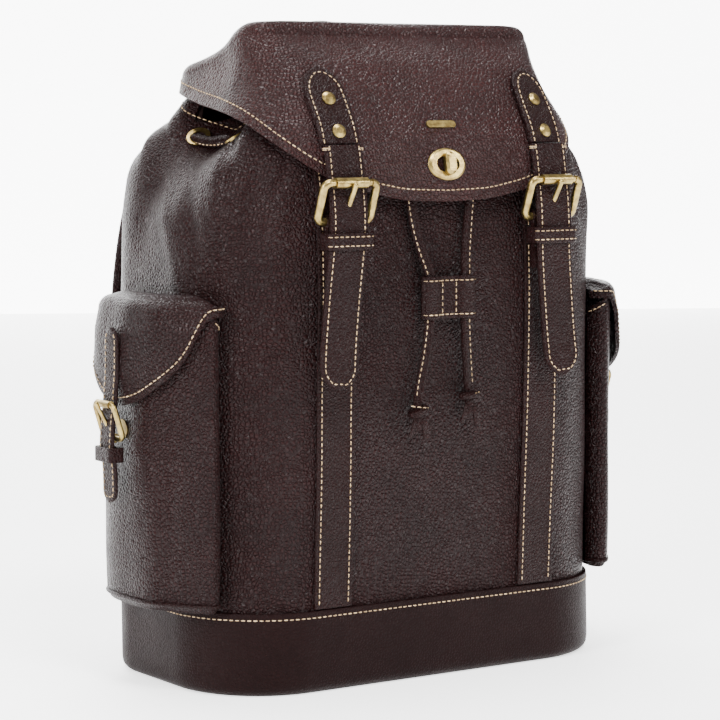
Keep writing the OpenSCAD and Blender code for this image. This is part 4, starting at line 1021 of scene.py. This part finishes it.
for q, hand in SIDES:
    ride = "carry_" + hand
    c4 = curve(array(PAD_RUN, float), 90)
    path, half = c4[:, :3], c4[:, 3]
    _, side, up = along(path, (0, 1, 0.3))
    rows = []
    for i in range(len(path)):
        row = []
        for a in around(PAD_SIDES):
            cx, sx = math.cos(a), math.sin(a)
            u = np.sign(cx) * abs(cx) ** 0.45 * half[i]
            puff = 4.6 * np.sign(sx) * abs(sx) ** 0.75 * (1 - 0.12 * (u / half[i]) ** 2)
            puff *= 1 - 0.28 * math.exp(-((abs(u) - (half[i] - PAD_SEAM)) / 1.6) ** 2)
            row.append(path[i] + side[i] * u + up[i] * puff)
        rows.append(row)
    pad = make("shoulder_pad_leather_" + hand, rows, tube_faces(len(rows), PAD_SIDES), PEBBLED,
        ride, ["shoulder_pad_" + hand], q=q)
    lines = [(path + side * (s * (half - PAD_SEAM))[:, None] + up * 3.35, up) for s in (-1, 1)]
    stitches("shoulder_pad_stitches_" + hand, lines, ride, q)

    # lower strap, its stitched tab and the ring between them
    low = curve([(107.5, 100.2, 114.2), (108.5, 97, 104), (110.1, 93.4, 88), (111.7, 90, 72),
        (112.7, 88, 62)], 40)
    out = (0, 0.97, -0.23)
    half = interp(linspace(0, 1, 40), [0, 0.06, 0.94, 1], [9.8, 11, 11, 9.8])
    strap("lower_strap_leather_" + hand, low, half, 2.4, out, ride, replaces=["lower_strap_" + hand], q=q,
        crown=0.2)
    _, side, up = along(low, out)
    lines = [((low + side * (s * 8.3) + up * 1.25)[2:-2], up[2:-2]) for s in (-1, 1)]
    stitches("lower_strap_stitches_" + hand, lines, ride, q)
    tab = curve([(118, 82.3, 38.3), (118, 82.5, 46), (118, 82.6, 52), (117.6, 82.6, 57.6)], 24)
    half = interp(linspace(0, 1, 24), [0, 0.08, 0.5, 1], [13.6, 15, 14.6, 12])
    strap("lower_tab_leather_" + hand, tab, half, 3.6, (0, 1, 0), "bag",
        replaces=["lower_tabs"] if q > 0 else (), q=q, crown=0.2)
    box = [(106, 41), (130, 41), (128.6, 53), (107.4, 53), (106, 41)]
    box = vstack([linspace(a, b, 10, endpoint=False) for a, b in zip(box[:-1], box[1:])] + [[box[0]]])
    cross = [linspace((107.5, 42.5), (127, 51.5), 14), linspace((128.5, 42.5), (109, 51.5), 14)]
    stitches("lower_tab_stitches_" + hand,
             [facing_row([(x, 84.5, z) for x, z in r], (0, 1, 0)) for r in [box] + cross], "bag", q)
    ring = [(106, 84.4, 56.5), (105.2, 87, 60.5), (107.5, 89.4, 64.6), (115, 90, 66.2), (122.5, 89.4, 64.6),
        (124.8, 87, 60.5), (124, 84.4, 56.5), (115, 83.2, 55.4), (106, 84.4, 56.5)]
    tube("lower_ring_" + hand, curve(ring, 90), WIRE_R, BRASS, "bag", q=q,
        out=(0.02, 0.8, -0.6), sides=12)
    # adjuster: wire frame over the strap with a bar across its middle
    mid = array([108.6, 97.6, 102.2])
    down, push = array([0.1, -0.24, -0.966]), array([0.0, 0.97, -0.24])
    a = linspace(0, 2 * math.pi, 73)
    wire = mid + boxy(cos(a), 13.2, 0.35)[:, None] * [1.0, 0, 0]
    wire = wire + boxy(sin(a), 7.4, 0.35)[:, None] * down
    tube("adjuster_frame_" + hand, wire, WIRE_R, BRASS, ride,
         ["strap_adjuster_" + hand], q=q, sides=12, out=push)
    bar = mid - push * 0.3 + linspace(-12.6, 12.6, 12)[:, None] * [1.0, 0, 0]
    tube("adjuster_bar_" + hand, bar, 1.3, BRASS, ride, q=q, sides=12, out=push)
    # loop that holds the shoulder strap to the patch
    hold = curve([(76, 73.6, 326.2), (76, 75.6, 328.4), (76, 77.2, 331), (76, 78.6, 333.8)], 16)
    strap("strap_hold_" + hand, hold, 11.0, 2.0, (0, 0.7, -0.7), "bag", q=q, crown=0.2)


# Patch on the back that holds the handle and the shoulder straps.
def yoke(a, z, d=GAP + 2.4):
    a, z = floats(a, z)
    return body(where(a <= 0, 1, -1) * (body_half(z) - abs(a)), z, d, plain=True)


YOKE_HALF, YOKE_LOW, YOKE_TOP, YOKE_ROUND = 88, 316, 347, 7


def yoke_cut(a, inset):
    """How far the patch's edge has come in at length a, where its corners are rounded."""
    over = maximum(abs(a) - (YOKE_HALF - YOKE_ROUND) + inset, 0) / YOKE_ROUND
    return inset + YOKE_ROUND * (1 - np.sqrt(clip(1 - over ** 2, 0, 1)))


a = linspace(-YOKE_HALF, YOKE_HALF, 150)
cut = yoke_cut(a, 0)
z = YOKE_LOW + cut + (YOKE_TOP - YOKE_LOW - 2 * cut) * linspace(0, 1, 22)[:, None]
panel("strap_yoke_leather", yoke(a, z), 2.3, SMOOTH, "bag", ["strap_yoke"], edge=0.6)
a = linspace(-84.6, 84.6, 160)
cut = yoke_cut(a, 3.4)
ends = [on_surface(yoke, np.full(12, s * 84.6), linspace(326.4, 336.6, 12)) for s in (-1, 1)]
long = [on_surface(yoke, a, YOKE_LOW + cut), on_surface(yoke, a, YOKE_TOP - cut)]
stitches("strap_yoke_stitches", long + ends, "bag")

# ---- brass and carried-over CAD nodes ----
BRASS_NODES = ("neck_eyelets", "turnlock_base", "turnlock_knob", "snap_studs", "flap_rivets",
               "turnlock_plate", "badge")
BRASS_STARTS = ("buckle_frame", "buckle_prong", "buckle_roller", "strap_adjuster")
for n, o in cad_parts.items():
    if n in BRASS_NODES or n.startswith(BRASS_STARTS) or n.endswith(("_buckle", "_prong")):
        look = BRASS
    elif n in ("back_pad", "laptop_divider"):
        look = LINING
    elif n == "base_board":
        look = BOARD
    else:
        look = SMOOTH
    for s in o.material_slots:
        s.material = look

# ---- camera and studio ----
RIGHT = array([0.82776, -0.56108, 0.0])
BACK = array([-0.55865, -0.82418, 0.09293])
UP = np.cross(BACK, RIGHT)
EYE = (-959.13, -1410.26, 351.46)
cam = bpy.data.cameras.new("camera")
cam.lens, cam.sensor_width = 133.5, 36
eye = add_object("camera", cam)
eye.matrix_world = Matrix([[RIGHT[i], UP[i], BACK[i], EYE[i] * MM] for i in range(3)] + [[0, 0, 0, 1]])
bpy.context.scene.camera = eye


def area(name, at, aim, size, power):
    """Rectangular studio light at a place in metres, aimed at a point."""
    light = bpy.data.lights.new(name, "AREA")
    light.shape, light.energy = "RECTANGLE", power
    light.size, light.size_y = size
    o = add_object(name, light)
    back = unit(array(at, float) - array(aim, float))
    right = unit(np.cross([0, 0, 1], back))
    up = np.cross(back, right)
    o.matrix_world = Matrix([[right[i], up[i], back[i], at[i]] for i in range(3)] + [[0, 0, 0, 1]])


area("key", (-2.3, -0.7, 1.25), (0, 0, 0.24), (0.8, 1.3), 90)
area("front", (-0.4, -1.9, 2.7), (0, 0, 0.3), (0.8, 0.8), 118)
area("top", (0.0, 0.3, 2.3), (0, 0, 0.3), (1.2, 0.9), 78)
area("gloss", (1.35, -1.95, 1.15), (0, -0.1, 0.33), (1.2, 0.35), 40)
world = bpy.data.worlds.new("studio")
world.use_nodes = True
sky = world.node_tree.nodes["Background"].inputs
sky["Color"].default_value, sky["Strength"].default_value = (1, 1, 1, 1), 0.4
bpy.context.scene.world = world


def plain(name, corners, glow):
    """White studio surface."""
    me = bpy.data.meshes.new(name)
    me.from_pydata(corners, [], [(0, 1, 2, 3)])
    o = add_object(name, me)
    look = bpy.data.materials.new(name)
    look.use_nodes = True
    shader = look.node_tree.nodes["Principled BSDF"]
    shader.inputs["Base Color"].default_value = (0.95, 0.95, 0.95, 1)
    shader.inputs["Roughness"].default_value = 0.7
    shader.inputs["Emission Color"].default_value = (1, 1, 1, 1)
    shader.inputs["Emission Strength"].default_value = glow
    me.materials.append(look)


plain("floor", [(-7, -7, 0), (7, -7, 0), (7, 7, 0), (-7, 7, 0)], 1.6)
plain("backdrop", [(-1.6, 4.2, -0.2), (2.45, 2.07, -0.2), (2.45, 2.07, 4.0), (-1.6, 4.2, 4.0)], 6.0)
